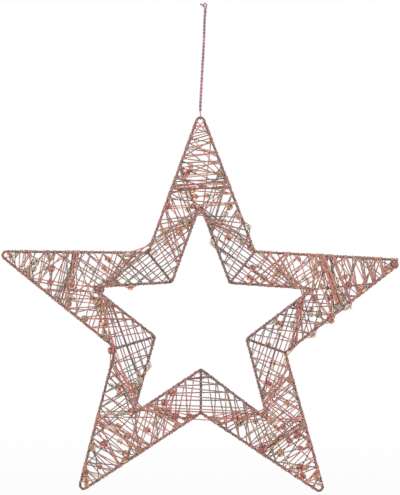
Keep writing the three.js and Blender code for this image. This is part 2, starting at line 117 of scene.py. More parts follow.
# Threads that cross an arm besides its regular lacing, read on an enlarged plan of the arm with its tip up:
# across and down at one end, across and down at the other, and the yarn
CROSS_THREADS = {
    "top": (
        (640, 235, 740, 230, G), (637, 246, 744, 243, P), (610, 310, 755, 275, G), (590, 370, 765, 305, G),
        (580, 410, 765, 345, G), (600, 325, 905, 740, P), (755, 345, 680, 1005, P), (575, 425, 820, 470, G),
        (560, 440, 915, 760, G), (530, 500, 815, 475, P), (530, 575, 850, 545, G), (500, 600, 930, 790, G),
        (470, 745, 905, 705, G), (450, 770, 900, 745, P), (430, 800, 930, 800, C), (420, 830, 925, 770, G),
        (425, 840, 690, 1000, G), (500, 600, 620, 1110, G), (420, 850, 560, 1290, P),
        (365, 955, 470, 1500, P), (380, 930, 500, 1440, G), (705, 1015, 1165, 1330, P),
        (712, 1045, 1180, 1362, G), (935, 765, 700, 1000, P), (235, 1270, 120, 1372, C),
        (228, 1300, 60, 1368, P),
    ),
    "left": (
        (640, 255, 750, 225, G), (610, 330, 790, 305, C), (590, 365, 790, 314, C), (575, 390, 825, 392, G),
        (770, 285, 690, 990, G), (570, 412, 895, 730, G), (560, 430, 640, 1075, G), (590, 395, 690, 980, P),
        (545, 530, 840, 490, P), (510, 640, 855, 560, G), (480, 700, 880, 655, G), (450, 735, 900, 690, G),
        (415, 820, 905, 715, C), (410, 836, 910, 735, C), (375, 930, 925, 752, C), (430, 800, 930, 800, G),
        (240, 1330, 645, 1060, P), (232, 1352, 600, 1160, G), (735, 1040, 1120, 1270, P),
        (745, 1065, 1160, 1345, G), (235, 1300, 60, 1352, C), (370, 940, 520, 1430, P),
    ),
    "lower_left": (
        (575, 305, 735, 325, G), (572, 318, 880, 610, G), (550, 400, 730, 322, G), (535, 470, 735, 372, P),
        (530, 492, 790, 445, G), (520, 522, 820, 515, G), (505, 530, 905, 770, P), (500, 548, 890, 700, P),
        (715, 350, 680, 1010, G), (490, 612, 850, 530, G), (470, 660, 870, 655, G), (450, 760, 910, 770, C),
        (440, 775, 905, 745, P), (400, 865, 925, 800, P), (935, 790, 690, 985, P), (940, 812, 690, 1005, C),
        (365, 880, 505, 1430, P), (375, 855, 520, 1390, G), (445, 720, 680, 1005, G),
        (480, 610, 665, 1030, G), (700, 1015, 1100, 1230, C), (692, 1025, 1060, 1140, G),
        (735, 1070, 1150, 1330, C), (222, 1262, 90, 1325, P),
    ),
    "lower_right": (
        (630, 250, 740, 210, G), (610, 300, 770, 300, G), (600, 330, 890, 600, G), (570, 415, 800, 395, P),
        (605, 350, 695, 985, P), (790, 390, 705, 980, G), (520, 552, 850, 498, P), (475, 705, 880, 600, P),
        (465, 720, 905, 680, G), (455, 742, 930, 735, G), (460, 745, 700, 985, C), (450, 765, 695, 960, P),
        (370, 945, 985, 850, P), (405, 850, 960, 762, G), (488, 610, 590, 1220, G),
        (520, 540, 660, 1060, G), (320, 1100, 690, 1000, P), (330, 1075, 670, 1035, G),
        (700, 985, 1060, 1080, G), (715, 1010, 1110, 1190, P), (215, 1305, 90, 1318, C),
    ),
    "right": (
        (665, 300, 790, 312, G), (655, 312, 795, 296, C), (620, 405, 835, 395, G), (605, 428, 830, 408, P),
        (640, 330, 905, 640, P), (590, 480, 870, 490, G), (570, 495, 950, 800, G), (545, 592, 890, 570, G),
        (600, 440, 705, 965, P), (835, 405, 705, 970, P), (490, 700, 925, 665, G), (440, 770, 960, 735, C),
        (436, 782, 950, 750, P), (430, 796, 980, 765, C), (420, 825, 700, 950, C), (950, 735, 322, 1095, P),
        (240, 1305, 640, 1090, G), (330, 1060, 560, 1330, P), (690, 190, 760, 260, C),
        (700, 160, 780, 215, P), (1010, 880, 715, 985, P), (760, 1030, 1170, 1300, G),
    ),
}

# Beads of each arm, read on the same plan: across, down and the glass
ARM_BEADS = {
    "top": (
        (590, 590, COPPER), (545, 640, RED), (610, 655, GREEN), (850, 665, GOLD), (690, 750, RED),
        (600, 800, GOLD), (620, 850, COPPER), (560, 840, CREAM), (730, 865, COPPER), (610, 960, RED),
        (575, 1010, CREAM), (385, 945, RED), (325, 1180, GOLD), (310, 1215, CREAM), (365, 1275, GOLD),
        (540, 1090, CREAM), (490, 1190, COPPER), (605, 1120, COPPER), (265, 1370, CREAM),
        (930, 995, COPPER), (1030, 1040, COPPER), (885, 1085, CREAM), (755, 1095, GOLD),
        (1100, 1140, GREEN), (925, 1230, COPPER), (1010, 1240, CREAM), (1040, 1270, CREAM),
        (820, 1250, CREAM), (780, 1285, GREEN), (1140, 1300, GOLD),
    ),
    "left": (
        (760, 165, COPPER), (705, 195, CREAM), (625, 370, GOLD), (735, 415, GREEN), (680, 450, CREAM),
        (720, 540, CREAM), (830, 530, GOLD), (600, 615, RED), (725, 585, COPPER), (755, 745, GOLD),
        (670, 790, COPPER), (540, 840, CREAM), (480, 850, COPPER), (620, 800, COPPER), (835, 935, CREAM),
        (870, 1020, GOLD), (960, 1030, COPPER), (600, 970, CREAM), (545, 1000, GOLD), (515, 1100, GOLD),
        (395, 1000, GOLD), (390, 1200, COPPER), (320, 1215, GREEN), (290, 1240, GOLD), (660, 1020, RED),
        (695, 1060, CREAM), (775, 1150, GOLD), (990, 1215, COPPER), (1065, 1185, GREEN),
        (795, 1300, COPPER), (1140, 1400, CREAM), (200, 1330, RED), (600, 1180, GOLD), (570, 1060, GOLD),
    ),
    "lower_left": (
        (635, 215, COPPER), (690, 250, GOLD), (725, 320, RED), (640, 405, RED), (810, 540, GOLD),
        (740, 610, RED), (480, 600, GOLD), (535, 680, COPPER), (640, 750, CREAM), (850, 750, GOLD),
        (440, 750, GOLD), (610, 790, GOLD), (520, 800, CREAM), (730, 830, COPPER), (770, 920, GREEN),
        (700, 1010, COPPER), (475, 950, RED), (500, 1040, CREAM), (490, 1110, GREEN), (370, 1190, RED),
        (295, 1120, GOLD), (515, 1235, RED), (510, 1350, RED), (440, 1190, COPPER), (790, 1150, CREAM),
        (820, 1210, GOLD), (800, 1275, CREAM), (850, 1320, GOLD), (830, 1410, CREAM), (995, 1090, GREEN),
        (925, 1090, COPPER), (1160, 1335, RED), (40, 1370, GOLD), (1290, 1400, GREEN),
    ),
    "lower_right": (
        (690, 180, CREAM), (615, 270, COPPER), (740, 340, RED), (660, 410, GOLD), (720, 420, RED),
        (800, 420, CREAM), (520, 540, COPPER), (610, 560, RED), (780, 620, GOLD), (585, 680, RED),
        (460, 730, GOLD), (760, 740, GOLD), (695, 760, COPPER), (930, 760, RED), (870, 770, COPPER),
        (755, 800, CREAM), (620, 830, RED), (670, 840, COPPER), (675, 890, CREAM), (790, 1000, COPPER),
        (490, 950, COPPER), (365, 985, CREAM), (325, 1115, COPPER), (935, 1060, GOLD), (920, 1130, COPPER),
        (865, 1060, CREAM), (1080, 1190, GOLD), (585, 1165, COPPER), (500, 1190, RED), (400, 1265, CREAM),
        (360, 1320, COPPER), (1250, 1370, RED), (290, 1470, COPPER),
    ),
    "right": (
        (720, 180, RED), (755, 250, COPPER), (830, 520, GOLD), (705, 620, COPPER), (760, 630, RED),
        (785, 720, CREAM), (940, 700, CREAM), (935, 770, GREEN), (880, 745, COPPER), (490, 800, COPPER),
        (740, 800, GOLD), (550, 870, GOLD), (700, 880, COPPER), (830, 820, RED), (615, 975, CREAM),
        (770, 970, RED), (925, 970, GOLD), (885, 995, GOLD), (1015, 880, RED), (1020, 1000, COPPER),
        (1075, 1080, GOLD), (395, 985, COPPER), (465, 1210, GOLD), (560, 1260, COPPER), (360, 1350, GREEN),
        (470, 1335, COPPER), (340, 1400, RED), (800, 1110, RED), (940, 1220, GREEN), (895, 1330, COPPER),
        (950, 1340, CREAM), (860, 1370, CREAM), (435, 1450, COPPER),
    ),
}


def linear(colour: Colour) -> tuple[float, ...]:
    """A screen colour, 0 to 255 in each channel, as the linear one that shaders take."""
    shares = [value / 255 for value in colour]
    return (*(s / 12.92 if s <= 0.04045 else ((s + 0.055) / 1.055) ** 2.4 for s in shares), 1.0)


def smooth_step(value: Vec) -> Vec:
    """A rise from 0 to 1 that starts and ends level."""
    share = np.clip(value, 0, 1)
    return share * share * (3 - 2 * share)


def polar(reach: float, degrees: float) -> Vec:
    """A point of the star's plane at a reach and an angle from its centre."""
    turn = math.radians(degrees)
    return np.array([reach * math.cos(turn), reach * math.sin(turn)])


def turned(point: Vec, angle: float) -> Vec:
    """A point of the plane turned about the plane's origin, by radians."""
    c, s = math.cos(angle), math.sin(angle)
    return np.array([point[0] * c - point[1] * s, point[0] * s + point[1] * c])


class Tree:
    """Adds nodes to one node tree and wires them as they are made."""

    def __init__(self, tree: NodeTree) -> None:
        """Keeps the tree that the nodes go to."""
        self.tree = tree

    def node(self, kind: str, inputs: Optional[dict] = None, **settings: object) -> bpy.types.Node:
        """Adds a node.

        Args:
            kind: the node's type.
            inputs: by name or number, a socket to link from or a value to set.
            settings: the node's own properties.

        Returns:
            The new node.
        """
        node = self.tree.nodes.new(kind)
        for key, value in settings.items():
            setattr(node, key, value)
        for key, value in (inputs or {}).items():
            self.feed(node.inputs[key], value)
        return node

    def out(self, kind: str, inputs: Optional[dict] = None, output: object = 0, **settings: object) -> Socket:
        """Adds a node as above and gives one of its outputs, by name or number."""
        return self.node(kind, inputs, **settings).outputs[output]

    def feed(self, socket: Socket, value: object) -> None:
        """Links a socket to an input, or sets the input's value.

        Args:
            socket: the input.
            value: a socket to link from, or a value.
        """
        if isinstance(value, Socket):
            self.tree.links.new(value, socket)
        else:
            socket.default_value = value

    def math(self, operation: str, *values: object) -> Socket:
        """A Math node's result from sockets or numbers."""
        return self.out("ShaderNodeMath", dict(enumerate(values)), operation=operation)

    def vector(self, operation: str, *values: object) -> Socket:
        """A Vector Math node's result; SCALE takes a vector and a number, the others take two vectors."""
        keys = (0, "Scale") if operation == "SCALE" else (0, 1)
        return self.out("ShaderNodeVectorMath", dict(zip(keys, values)), operation=operation)

    def mix(self, share: object, first: object, second: object) -> Socket:
        """A blend of two colours by a share."""
        return self.out("ShaderNodeMix", {0: share, 6: first, 7: second}, 2, data_type="RGBA")

    def span(self, value: object, levels: tuple, ends: tuple = (0, 1)) -> Socket:
        """A value's smooth change from one end to the other between two levels."""
        inputs = dict(enumerate((value, *levels, *ends)))
        return self.out("ShaderNodeMapRange", inputs, interpolation_type="SMOOTHSTEP")

    def noise(self, place: object, scale: object, detail: float) -> Socket:
        """A Noise Texture's level."""
        return self.out("ShaderNodeTexNoise", {"Vector": place, "Scale": scale, "Detail": detail}, "Fac")

    def attribute(self, name: str) -> Socket:
        """A mesh attribute as a shader reads it."""
        return self.out("ShaderNodeAttribute", None, "Fac", attribute_name=name)

    def combined(self, **parts: object) -> Socket:
        """A vector from its parts X, Y and Z."""
        return self.out("ShaderNodeCombineXYZ", parts)

    def own_place(self) -> Socket:
        """The shaded point in the piece's own axes."""
        return self.out("ShaderNodeTexCoord", output="Object")


def new_group(name: str, kind: str, inputs: dict[str, str], outputs: dict[str, str]) -> tuple[Tree, object]:
    """A node group with named inputs and outputs.

    Args:
        name: the group's name.
        kind: GeometryNodeTree or ShaderNodeTree.
        inputs: each input's socket type.
        outputs: each output's socket type.

    Returns:
        The tree's builder and the sockets that give its inputs.
    """
    tree = bpy.data.node_groups.new(name, kind)
    for direction, sockets in (("INPUT", inputs), ("OUTPUT", outputs)):
        for label, socket_type in sockets.items():
            tree.interface.new_socket(name=label, in_out=direction, socket_type=socket_type)
    return Tree(tree), tree.nodes.new("NodeGroupInput").outputs


class ShapeTree(Tree):
    """A Geometry Nodes tree that turns paths or points into a finished piece."""

    def __init__(self, name: str, numbers: Sequence[str], counts: Sequence[str]) -> None:
        """Starts a tree that takes geometry, numbers, counts and a material.

        Args:
            name: the tree's name.
            numbers: the names of its lengths and shares.
            counts: the names of its whole numbers.
        """
        inputs = {
            "Geometry": GEOMETRY,
            **dict.fromkeys(numbers, NUMBER),
            **dict.fromkeys(counts, "NodeSocketInt"),
            "Material": "NodeSocketMaterial",
        }
        builder, self.given = new_group(name, "GeometryNodeTree", inputs, {"Geometry": GEOMETRY})
        super().__init__(builder.tree)

    def path(self) -> Socket:
        """The incoming edges as curves."""
        return self.out("GeometryNodeMeshToCurve", {0: self.given["Geometry"]})

    def even_path(self) -> Socket:
        """The incoming edges as curves with points an even step apart."""
        inputs = {"Curve": self.path(), "Length": self.given["Step"]}
        return self.out("GeometryNodeResampleCurve", inputs, mode="LENGTH")

    def along(self) -> Socket:
        """How far each point lies along its curve."""
        return self.out("GeometryNodeSplineParameter", output="Length")

    def named(self, name: str, kind: str = "FLOAT") -> Socket:
        """An attribute of the incoming points."""
        return self.out("GeometryNodeInputNamedAttribute", {"Name": name}, data_type=kind)

    def store(self, geometry: Socket, name: str, value: object) -> Socket:
        """Geometry with a number stored on its points."""
        inputs = {"Geometry": geometry, "Name": name, "Value": value}
        return self.out("GeometryNodeStoreNamedAttribute", inputs, data_type="FLOAT", domain="POINT")

    def circle(self, sides: str, radius: object) -> Socket:
        """A circle with as many sides as the named input says."""
        inputs = {"Resolution": self.given[sides], "Radius": radius}
        return self.out("GeometryNodeCurvePrimitiveCircle", inputs)

    def sweep(self, curve: Socket, profile: Socket) -> Socket:
        """A profile swept along a curve, with open ends closed."""
        inputs = {"Curve": curve, "Profile Curve": profile, "Fill Caps": True}
        return self.out("GeometryNodeCurveToMesh", inputs)

    def finish(self, mesh: Socket) -> NodeTree:
        """Ends the tree with smooth faces, real geometry and the material, and gives it.

        Args:
            mesh: the shaped geometry.

        Returns:
            The tree.
        """
        smooth = self.out("GeometryNodeSetShadeSmooth", {"Geometry": mesh})
        real = self.out("GeometryNodeRealizeInstances", {"Geometry": smooth})
        dressed = self.out("GeometryNodeSetMaterial", {"Geometry": real, "Material": self.given["Material"]})
        self.node("NodeGroupOutput", {"Geometry": dressed})
        return self.tree


def yarn_tree() -> NodeTree:
    """Two plies that twist round each other along each path of the incoming edges.

    Returns:
        The tree.
    """
    tree = ShapeTree("plied_yarn", ("Ply Radius", "Ply Spread", "Pitch", "Step"), ("Sides",))
    along = tree.along()
    turns = tree.math("ADD", tree.math("DIVIDE", along, tree.given["Pitch"]), tree.named("tone"))
    twist = tree.math("MULTIPLY", turns, WHOLE_TURN)
    tilted = tree.out("GeometryNodeSetCurveTilt", {"Curve": tree.even_path(), "Tilt": twist})
    circle = tree.circle("Sides", tree.given["Ply Radius"])
    plies = tree.node("GeometryNodeJoinGeometry")
    for ply, sign in enumerate((-1, 1)):
        aside = tree.combined(X=tree.math("MULTIPLY", tree.given["Ply Spread"], sign))
        moved = tree.out("GeometryNodeTransform", {"Geometry": circle, "Translation": aside})
        tree.feed(plies.inputs[0], tree.store(moved, "ply", float(ply)))
    return tree.finish(tree.sweep(tree.store(tilted, "run", along), plies.outputs[0]))


def wire_tree() -> NodeTree:
    """Round wire along each path of the incoming edges."""
    tree = ShapeTree("round_wire", ("Radius",), ("Sides",))
    return tree.finish(tree.sweep(tree.path(), tree.circle("Sides", tree.given["Radius"])))


def coil_tree() -> NodeTree:
    """Yarn wound round each path of the incoming edges, a little unevenly.

    Returns:
        The tree.
    """
    numbers = ("Coil Radius", "Coil Pitch", "Unevenness", "Seed", "Step", "Thread Radius")
    tree = ShapeTree("wound_coil", numbers, ("Sides",))
    along = tree.along()
    turns = tree.math("DIVIDE", along, tree.given["Coil Pitch"])
    place = tree.math("ADD", tree.math("MULTIPLY", turns, COIL_DRIFT), tree.given["Seed"])
    drift = tree.out("ShaderNodeTexNoise", {"W": place, "Scale": 1.0}, noise_dimensions="1D")
    uneven = tree.math("MULTIPLY", tree.math("SUBTRACT", drift, 0.5), tree.given["Unevenness"])
    angle = tree.math("MULTIPLY", tree.math("ADD", turns, uneven), WHOLE_TURN)
    normal = tree.out("GeometryNodeInputNormal")
    across = tree.vector("CROSS_PRODUCT", tree.out("GeometryNodeInputTangent"), normal)
    outward = tree.vector("SCALE", normal, tree.math("COSINE", angle))
    sideways = tree.vector("SCALE", across, tree.math("SINE", angle))
    offset = tree.vector("SCALE", tree.vector("ADD", outward, sideways), tree.given["Coil Radius"])
    wound = tree.out("GeometryNodeSetPosition", {"Geometry": tree.even_path(), "Offset": offset})
    marked = tree.store(wound, "run", tree.math("MULTIPLY", along, COIL_RUN))
    return tree.finish(tree.sweep(marked, tree.circle("Sides", tree.given["Thread Radius"])))


def bead_tree() -> NodeTree:
    """A bored barrel bead on each incoming point, turned to its axis and scaled to its size.

    Returns:
        The tree.
    """
    tree = ShapeTree("barrel_beads", ("Bore Share", "Length Share"), ("Segments", "Section Points"))
    bore = tree.given["Bore Share"]
    # The middle of the bead's wall and half its thickness, as shares of the bead's diameter
    middle = tree.math("MULTIPLY", tree.math("ADD", bore, 1.0), 0.25)
    wall = tree.math("MULTIPLY", tree.math("SUBTRACT", 1.0, bore), 0.25)
    ring = tree.out("GeometryNodeSetCurveNormal", {"Curve": tree.circle("Segments", middle)}, mode="Z_UP")
    # The section's inward side, which the glass reads to paint shade on the bore's inner wall
    inward = tree.out("ShaderNodeSeparateXYZ", {0: tree.out("GeometryNodeInputPosition")})
    section = tree.store(tree.circle("Section Points", 1.0), "bore", inward)
    half_length = tree.math("MULTIPLY", tree.given["Length Share"], 0.5)
    scale = tree.combined(X=wall, Y=half_length, Z=1.0)
    shaped = tree.out("GeometryNodeTransform", {"Geometry": section, "Scale": scale})
    axis, size = tree.named("axis", "FLOAT_VECTOR"), tree.named("size")
    inputs = {
        "Points": tree.out("GeometryNodeMeshToPoints", {0: tree.given["Geometry"]}),
        "Instance": tree.sweep(ring, shaped),
        "Rotation": tree.out("FunctionNodeAlignRotationToVector", {"Vector": axis}, axis="Z"),
        "Scale": tree.combined(X=size, Y=size, Z=size),
    }
    return tree.finish(tree.out("GeometryNodeInstanceOnPoints", inputs))


@dataclass(frozen=True)
class Yarn:
    """Two soft plies twisted together, which give where they cross. Lengths in millimetres."""

    ply_radius: float
    ply_spread: float
    sides: int = 10
    pitch: float = 4.2
    step: float = 0.85


LACING_YARN = Yarn(0.48, 0.25, 5)
# The room that a lacing thread takes across, in millimetres
THREAD = 1.0


@dataclass
class Shop:
    """Makes finished pieces: a path or point mesh, shaped by a tree and made plain."""

    yarn_shape: NodeTree = field(default_factory=yarn_tree)
    wire_shape: NodeTree = field(default_factory=wire_tree)
    coil_shape: NodeTree = field(default_factory=coil_tree)
    bead_shape: NodeTree = field(default_factory=bead_tree)

    def shape(self, name: str, source: Mesh, tree: NodeTree, values: dict) -> Piece:
        """Shapes a source mesh by a tree.

        Args:
            name: the piece's name.
            source: the paths or points that the tree reads.
            tree: the Geometry Nodes tree.
            values: the tree's inputs by name.

        Returns:
            The piece as a plain mesh object.
        """
        piece = bpy.data.objects.new(name, source)
        bpy.context.scene.collection.objects.link(piece)
        modifier = piece.modifiers.new("shape", "NODES")
        modifier.node_group = tree
        for item in tree.interface.items_tree:
            if item.in_out == "INPUT" and item.name in values:
                modifier[item.identifier] = values[item.name]
        depsgraph = bpy.context.evaluated_depsgraph_get()
        mesh = bpy.data.meshes.new_from_object(
            piece.evaluated_get(depsgraph), preserve_all_data_layers=True, depsgraph=depsgraph
        )
        mesh.name = name
        piece.modifiers.clear()
        piece.data = mesh
        bpy.data.meshes.remove(source)
        return piece

    def paths(self, name: str, paths: Sequence[Vec], tones: Sequence[float]) -> Mesh:
        """A mesh of edges along paths given in millimetres, each with a tone of its own.

        Args:
            name: the piece's name.
            paths: its threads' paths.
            tones: each thread's tone.

        Returns:
            The mesh.
        """
        points, edges, shades = [], [], []
        for path, tone in zip(paths, tones):
            start = len(points)
            points.extend((path * MM).tolist())
            edges.extend((start + i, start + i + 1) for i in range(len(path) - 1))
            shades.extend([tone] * len(path))
        mesh = bpy.data.meshes.new(name + "_paths")
        mesh.from_pydata(points, edges, [])
        mesh.attributes.new("tone", "FLOAT", "POINT").data.foreach_set("value", np.array(shades, np.float32))
        return mesh

    def yarn(self, name: str, paths: Sequence[Vec], tones: Sequence[float], material: Material,
             yarn: Yarn = LACING_YARN) -> Piece:
        """A piece of yarn along paths.

        Args:
            name: the piece's name.
            paths: each thread's path in space, in millimetres.
            tones: each thread's own tone, from 0 to 1.
            material: the piece's material.
            yarn: its make.

        Returns:
            The piece.
        """
        values = {
            "Ply Radius": yarn.ply_radius * MM,
            "Ply Spread": yarn.ply_spread * MM,
            "Pitch": yarn.pitch * MM,
            "Step": yarn.step * MM,
            "Sides": yarn.sides,
            "Material": material,
        }
        return self.shape(name, self.paths(name, paths, tones), self.yarn_shape, values)


@dataclass(frozen=True)
class Side:
    """One straight side of a wire, from its notch to its tip, and the way that threads bulge round it."""

    notch: Vec
    tip: Vec
    out: Vec

    @property
    def length(self) -> float:
        """The distance from the notch to the tip."""
        return float(np.linalg.norm(self.tip - self.notch))

    @property
    def along(self) -> Vec:
        """The direction from the notch to the tip."""
        return (self.tip - self.notch) / self.length

    def at(self, distance: float) -> Vec:
        """The point at a distance from the notch."""
        return self.notch + self.along * distance

    def distance_to(self, point: Vec) -> Pair:
        """How far along the side its point nearest to a given one lies, and how far away that is."""
        along = float(np.clip(np.dot(point - self.notch, self.along), 0, self.length))
        return along, float(np.linalg.norm(self.at(along) - point))


# A wire's side and a distance along it
End = tuple[Side, float]


@dataclass(frozen=True)
class Outline:
    """A star wire bent by hand.

    Its tips and its notches each have a mean reach from the centre, in millimetres, and for each of the five
    a share of it and a lean from the regular place, in degrees. The rows run anticlockwise from the top.
    """

    tip_reach: float
    notch_reach: float
    tip_bend: float
    tip_shares: tuple
    notch_shares: tuple
    tip_leans: tuple
    notch_leans: tuple

    def corners(self) -> list[Vec]:
        """The ten sharp corners, tip and notch by turns, from the top anticlockwise.

        Returns:
            Points of the star's plane.
        """
        corners = []
        for arm in range(ARMS):
            tip = UPRIGHT + arm * ARM_STEP
            notch = tip + ARM_STEP / 2
            corners.append(polar(self.tip_reach * self.tip_shares[arm], tip + self.tip_leans[arm]))
            corners.append(polar(self.notch_reach * self.notch_shares[arm], notch + self.notch_leans[arm]))
        return corners


OUTER_WIRE = Outline(
    215.4, 89.9, 3.7,
    (0.994, 1.018, 0.989, 1.002, 0.997), (0.98, 0.999, 1.017, 1.01, 1.0),
    (0.1, -1.1, 0.3, -0.3, -1.0), (1.0, -1.0, 0.1, -1.8, -1.4),
)
INNER_WIRE = Outline(
    118.6, 49.0, 2.0,
    (1.015, 0.982, 0.98, 1.018, 1.004), (1.021, 0.987, 0.97, 1.011, 1.015),
    (0.2, 0, -0.3, -1.4, -1.3), (-0.3, -0.6, 0.5, -1.8, -0.6),
)


@dataclass
class StarPlan:
    """The wires' lines on the star's plane, and the arms' enlarged plans brought to it. In millimetres."""

    notch_bend: float = 3.0
    wire_radius: float = 1.2
    apex: tuple = (-5.0, -115.0)
    bend_steps: int = 12
    sheet_centre: tuple = (-0.19, -0.61)
    sheet_scale: float = 0.1128
    sheet_middle: tuple = (675.0, 1998.0)

    def __post_init__(self) -> None:
        """Works out the corners, bends, struts and sides."""
        self.outer, self.inner = OUTER_WIRE.corners(), INNER_WIRE.corners()
        self.outer_bends = self._bends(self.outer, OUTER_WIRE.tip_bend)
        self.inner_bends = self._bends(self.inner, INNER_WIRE.tip_bend)
        self.centre = np.array(self.apex) - self.middle(self.outer_bends[0])
        self.struts = []
        for notch in range(ARMS):
            foot = self.middle(self.inner_bends[2 * notch + 1])
            head = self.middle(self.outer_bends[2 * notch + 1])
            along = (head - foot) / np.linalg.norm(head - foot)
            self.struts.append(Side(foot, head, np.array([along[1], -along[0]])))

    def _bends(self, corners: list[Vec], tip_bend: float) -> list[list[Vec]]:
        """Each corner's arc, as points that run from the side before it to the side after it.

        Args:
            corners: an outline's sharp corners.
            tip_bend: the radius at its tips.

        Returns:
            The points by bend.
        """
        bends = []
        for index, corner in enumerate(corners):
            radius = tip_bend if index % 2 == 0 else self.notch_bend
            back = corners[index - 1] - corner
            ahead = corners[(index + 1) % len(corners)] - corner
            back, ahead = back / np.linalg.norm(back), ahead / np.linalg.norm(ahead)
            half = math.acos(float(np.dot(back, ahead))) / 2
            middle = (back + ahead) / np.linalg.norm(back + ahead)
            centre = corner + middle * radius / math.sin(half)
            start = corner + back * radius / math.tan(half) - centre
            turn = -np.sign(back[0] * ahead[1] - back[1] * ahead[0]) * (math.pi - 2 * half)
            steps = range(self.bend_steps + 1)
            bends.append([centre + turned(start, turn * step / self.bend_steps) for step in steps])
        return bends

    def middle(self, bend: list[Vec]) -> Vec:
        """The middle point of a bend."""
        return bend[len(bend) // 2]

    def side(self, corners: list[Vec], notch: int, tip: int, bulge: float) -> Side:
        """The side between a notch and a tip, bulging away from the star's centre or towards it.

        Args:
            corners: an outline's corners.
            notch: the lower one's number.
            tip: the upper one's.
            bulge: 1 away from the centre, -1 towards it.

        Returns:
            The side.
        """
        low, high = corners[notch % len(corners)], corners[tip % len(corners)]
        along = (high - low) / np.linalg.norm(high - low)
        out = np.array([along[1], -along[0]])
        return Side(low, high, out * bulge * (1 if np.dot(out, low) > 0 else -1))

    def sides(self, arm: int) -> dict[str, dict[str, Side]]:
        """One arm's sides, seen with its tip up: left lies anticlockwise.

        Args:
            arm: its number.

        Returns:
            The sides by left or right and by wire.
        """
        tip = 2 * arm
        wires = (("outer", self.outer, 1), ("inner", self.inner, -1))
        return {
            name: {wire: self.side(corners, notch, tip, bulge) for wire, corners, bulge in wires}
            for name, notch in (("left", tip + 1), ("right", tip - 1))
        }

    def notch_sides(self, arm: int) -> tuple[Side, Side]:
        """The inner wire's sides before and after the notch that follows an arm."""
        return self.sides(arm)["left"]["inner"], self.sides((arm + 1) % ARMS)["right"]["inner"]

    def wire_sides(self) -> list[Side]:
        """Every straight side of both star wires."""
        return [side for arm in range(ARMS) for pair in self.sides(arm).values() for side in pair.values()]

    def all_sides(self) -> list[Side]:
        """The struts and every straight side of both star wires."""
        return self.struts + self.wire_sides()

    def on_plan(self, arm: int, across: float, down: float) -> Vec:
        """A point read on an arm's enlarged plan, on the star's plane.

        Args:
            arm: its number.
            across: the point's place on the plan.
            down: how far down on it.

        Returns:
            The point.
        """
        u = (across - self.sheet_middle[0]) * self.sheet_scale
        v = (self.sheet_middle[1] - down) * self.sheet_scale
        angle = math.radians(UPRIGHT + ARM_STEP * arm)
        offset = (v * math.cos(angle) + u * math.sin(angle), v * math.sin(angle) - u * math.cos(angle))
        return np.array(offset) + np.array(self.sheet_centre)

    def in_space(self, points: Iterable[Sequence[float]]) -> Vec:
        """Points of the plane with their depths, in the frame's axes and in millimetres."""
        rows = np.array([tuple(point) for point in points], float)
        return np.column_stack((rows[:, 0] + self.centre[0], rows[:, 2], rows[:, 1] + self.centre[1]))

    def rings(self) -> dict[str, Vec]:
        """Each star wire's line as a closed run of points in space.

        Returns:
            The points by wire.
        """
        wires = {"outer": self.outer_bends, "inner": self.inner_bends}
        return {
            name: self.in_space([(*point, 0.0) for bend in bends for point in bend])
            for name, bends in wires.items()
        }


@dataclass
class Strand:
    """One laid thread.

    Args:
        piece: the name of the piece that it belongs to.
        yarn: its colour.
        points: its path in space, in millimetres.
        legs: for each crossing, the first and last index of its free points, and its face.
        tone: a number of its own from 0 to 1.
        fixed: whether it is regular lacing, which already keeps off the loose beads' slides.
    """

    piece: str
    yarn: ThreadColour
    points: Vec
    legs: list[tuple[int, int, Face]]
    tone: float
    fixed: bool = False


@dataclass(frozen=True)
class Family:
    """A count of like threads, and for each of two sides the first's and the last's share from its notch."""

    count: int
    first: Pair
    second: Pair


@dataclass(frozen=True)
class Winding:
    """A regular lacing: a thread taken round two sides by turns, in the first layer or over it.

    On each side it starts and ends at a share of the side from its notch.
    """

    turns: int
    first: Pair
    second: Pair
    outer: bool = True

    def spans(self, first: Side, second: Side) -> list[Pair]:
        """The start and the end on each side, as distances from its notch."""
        shares = ((first, self.first), (second, self.second))
        return [(side.length * low, side.length * high) for side, (low, high) in shares]


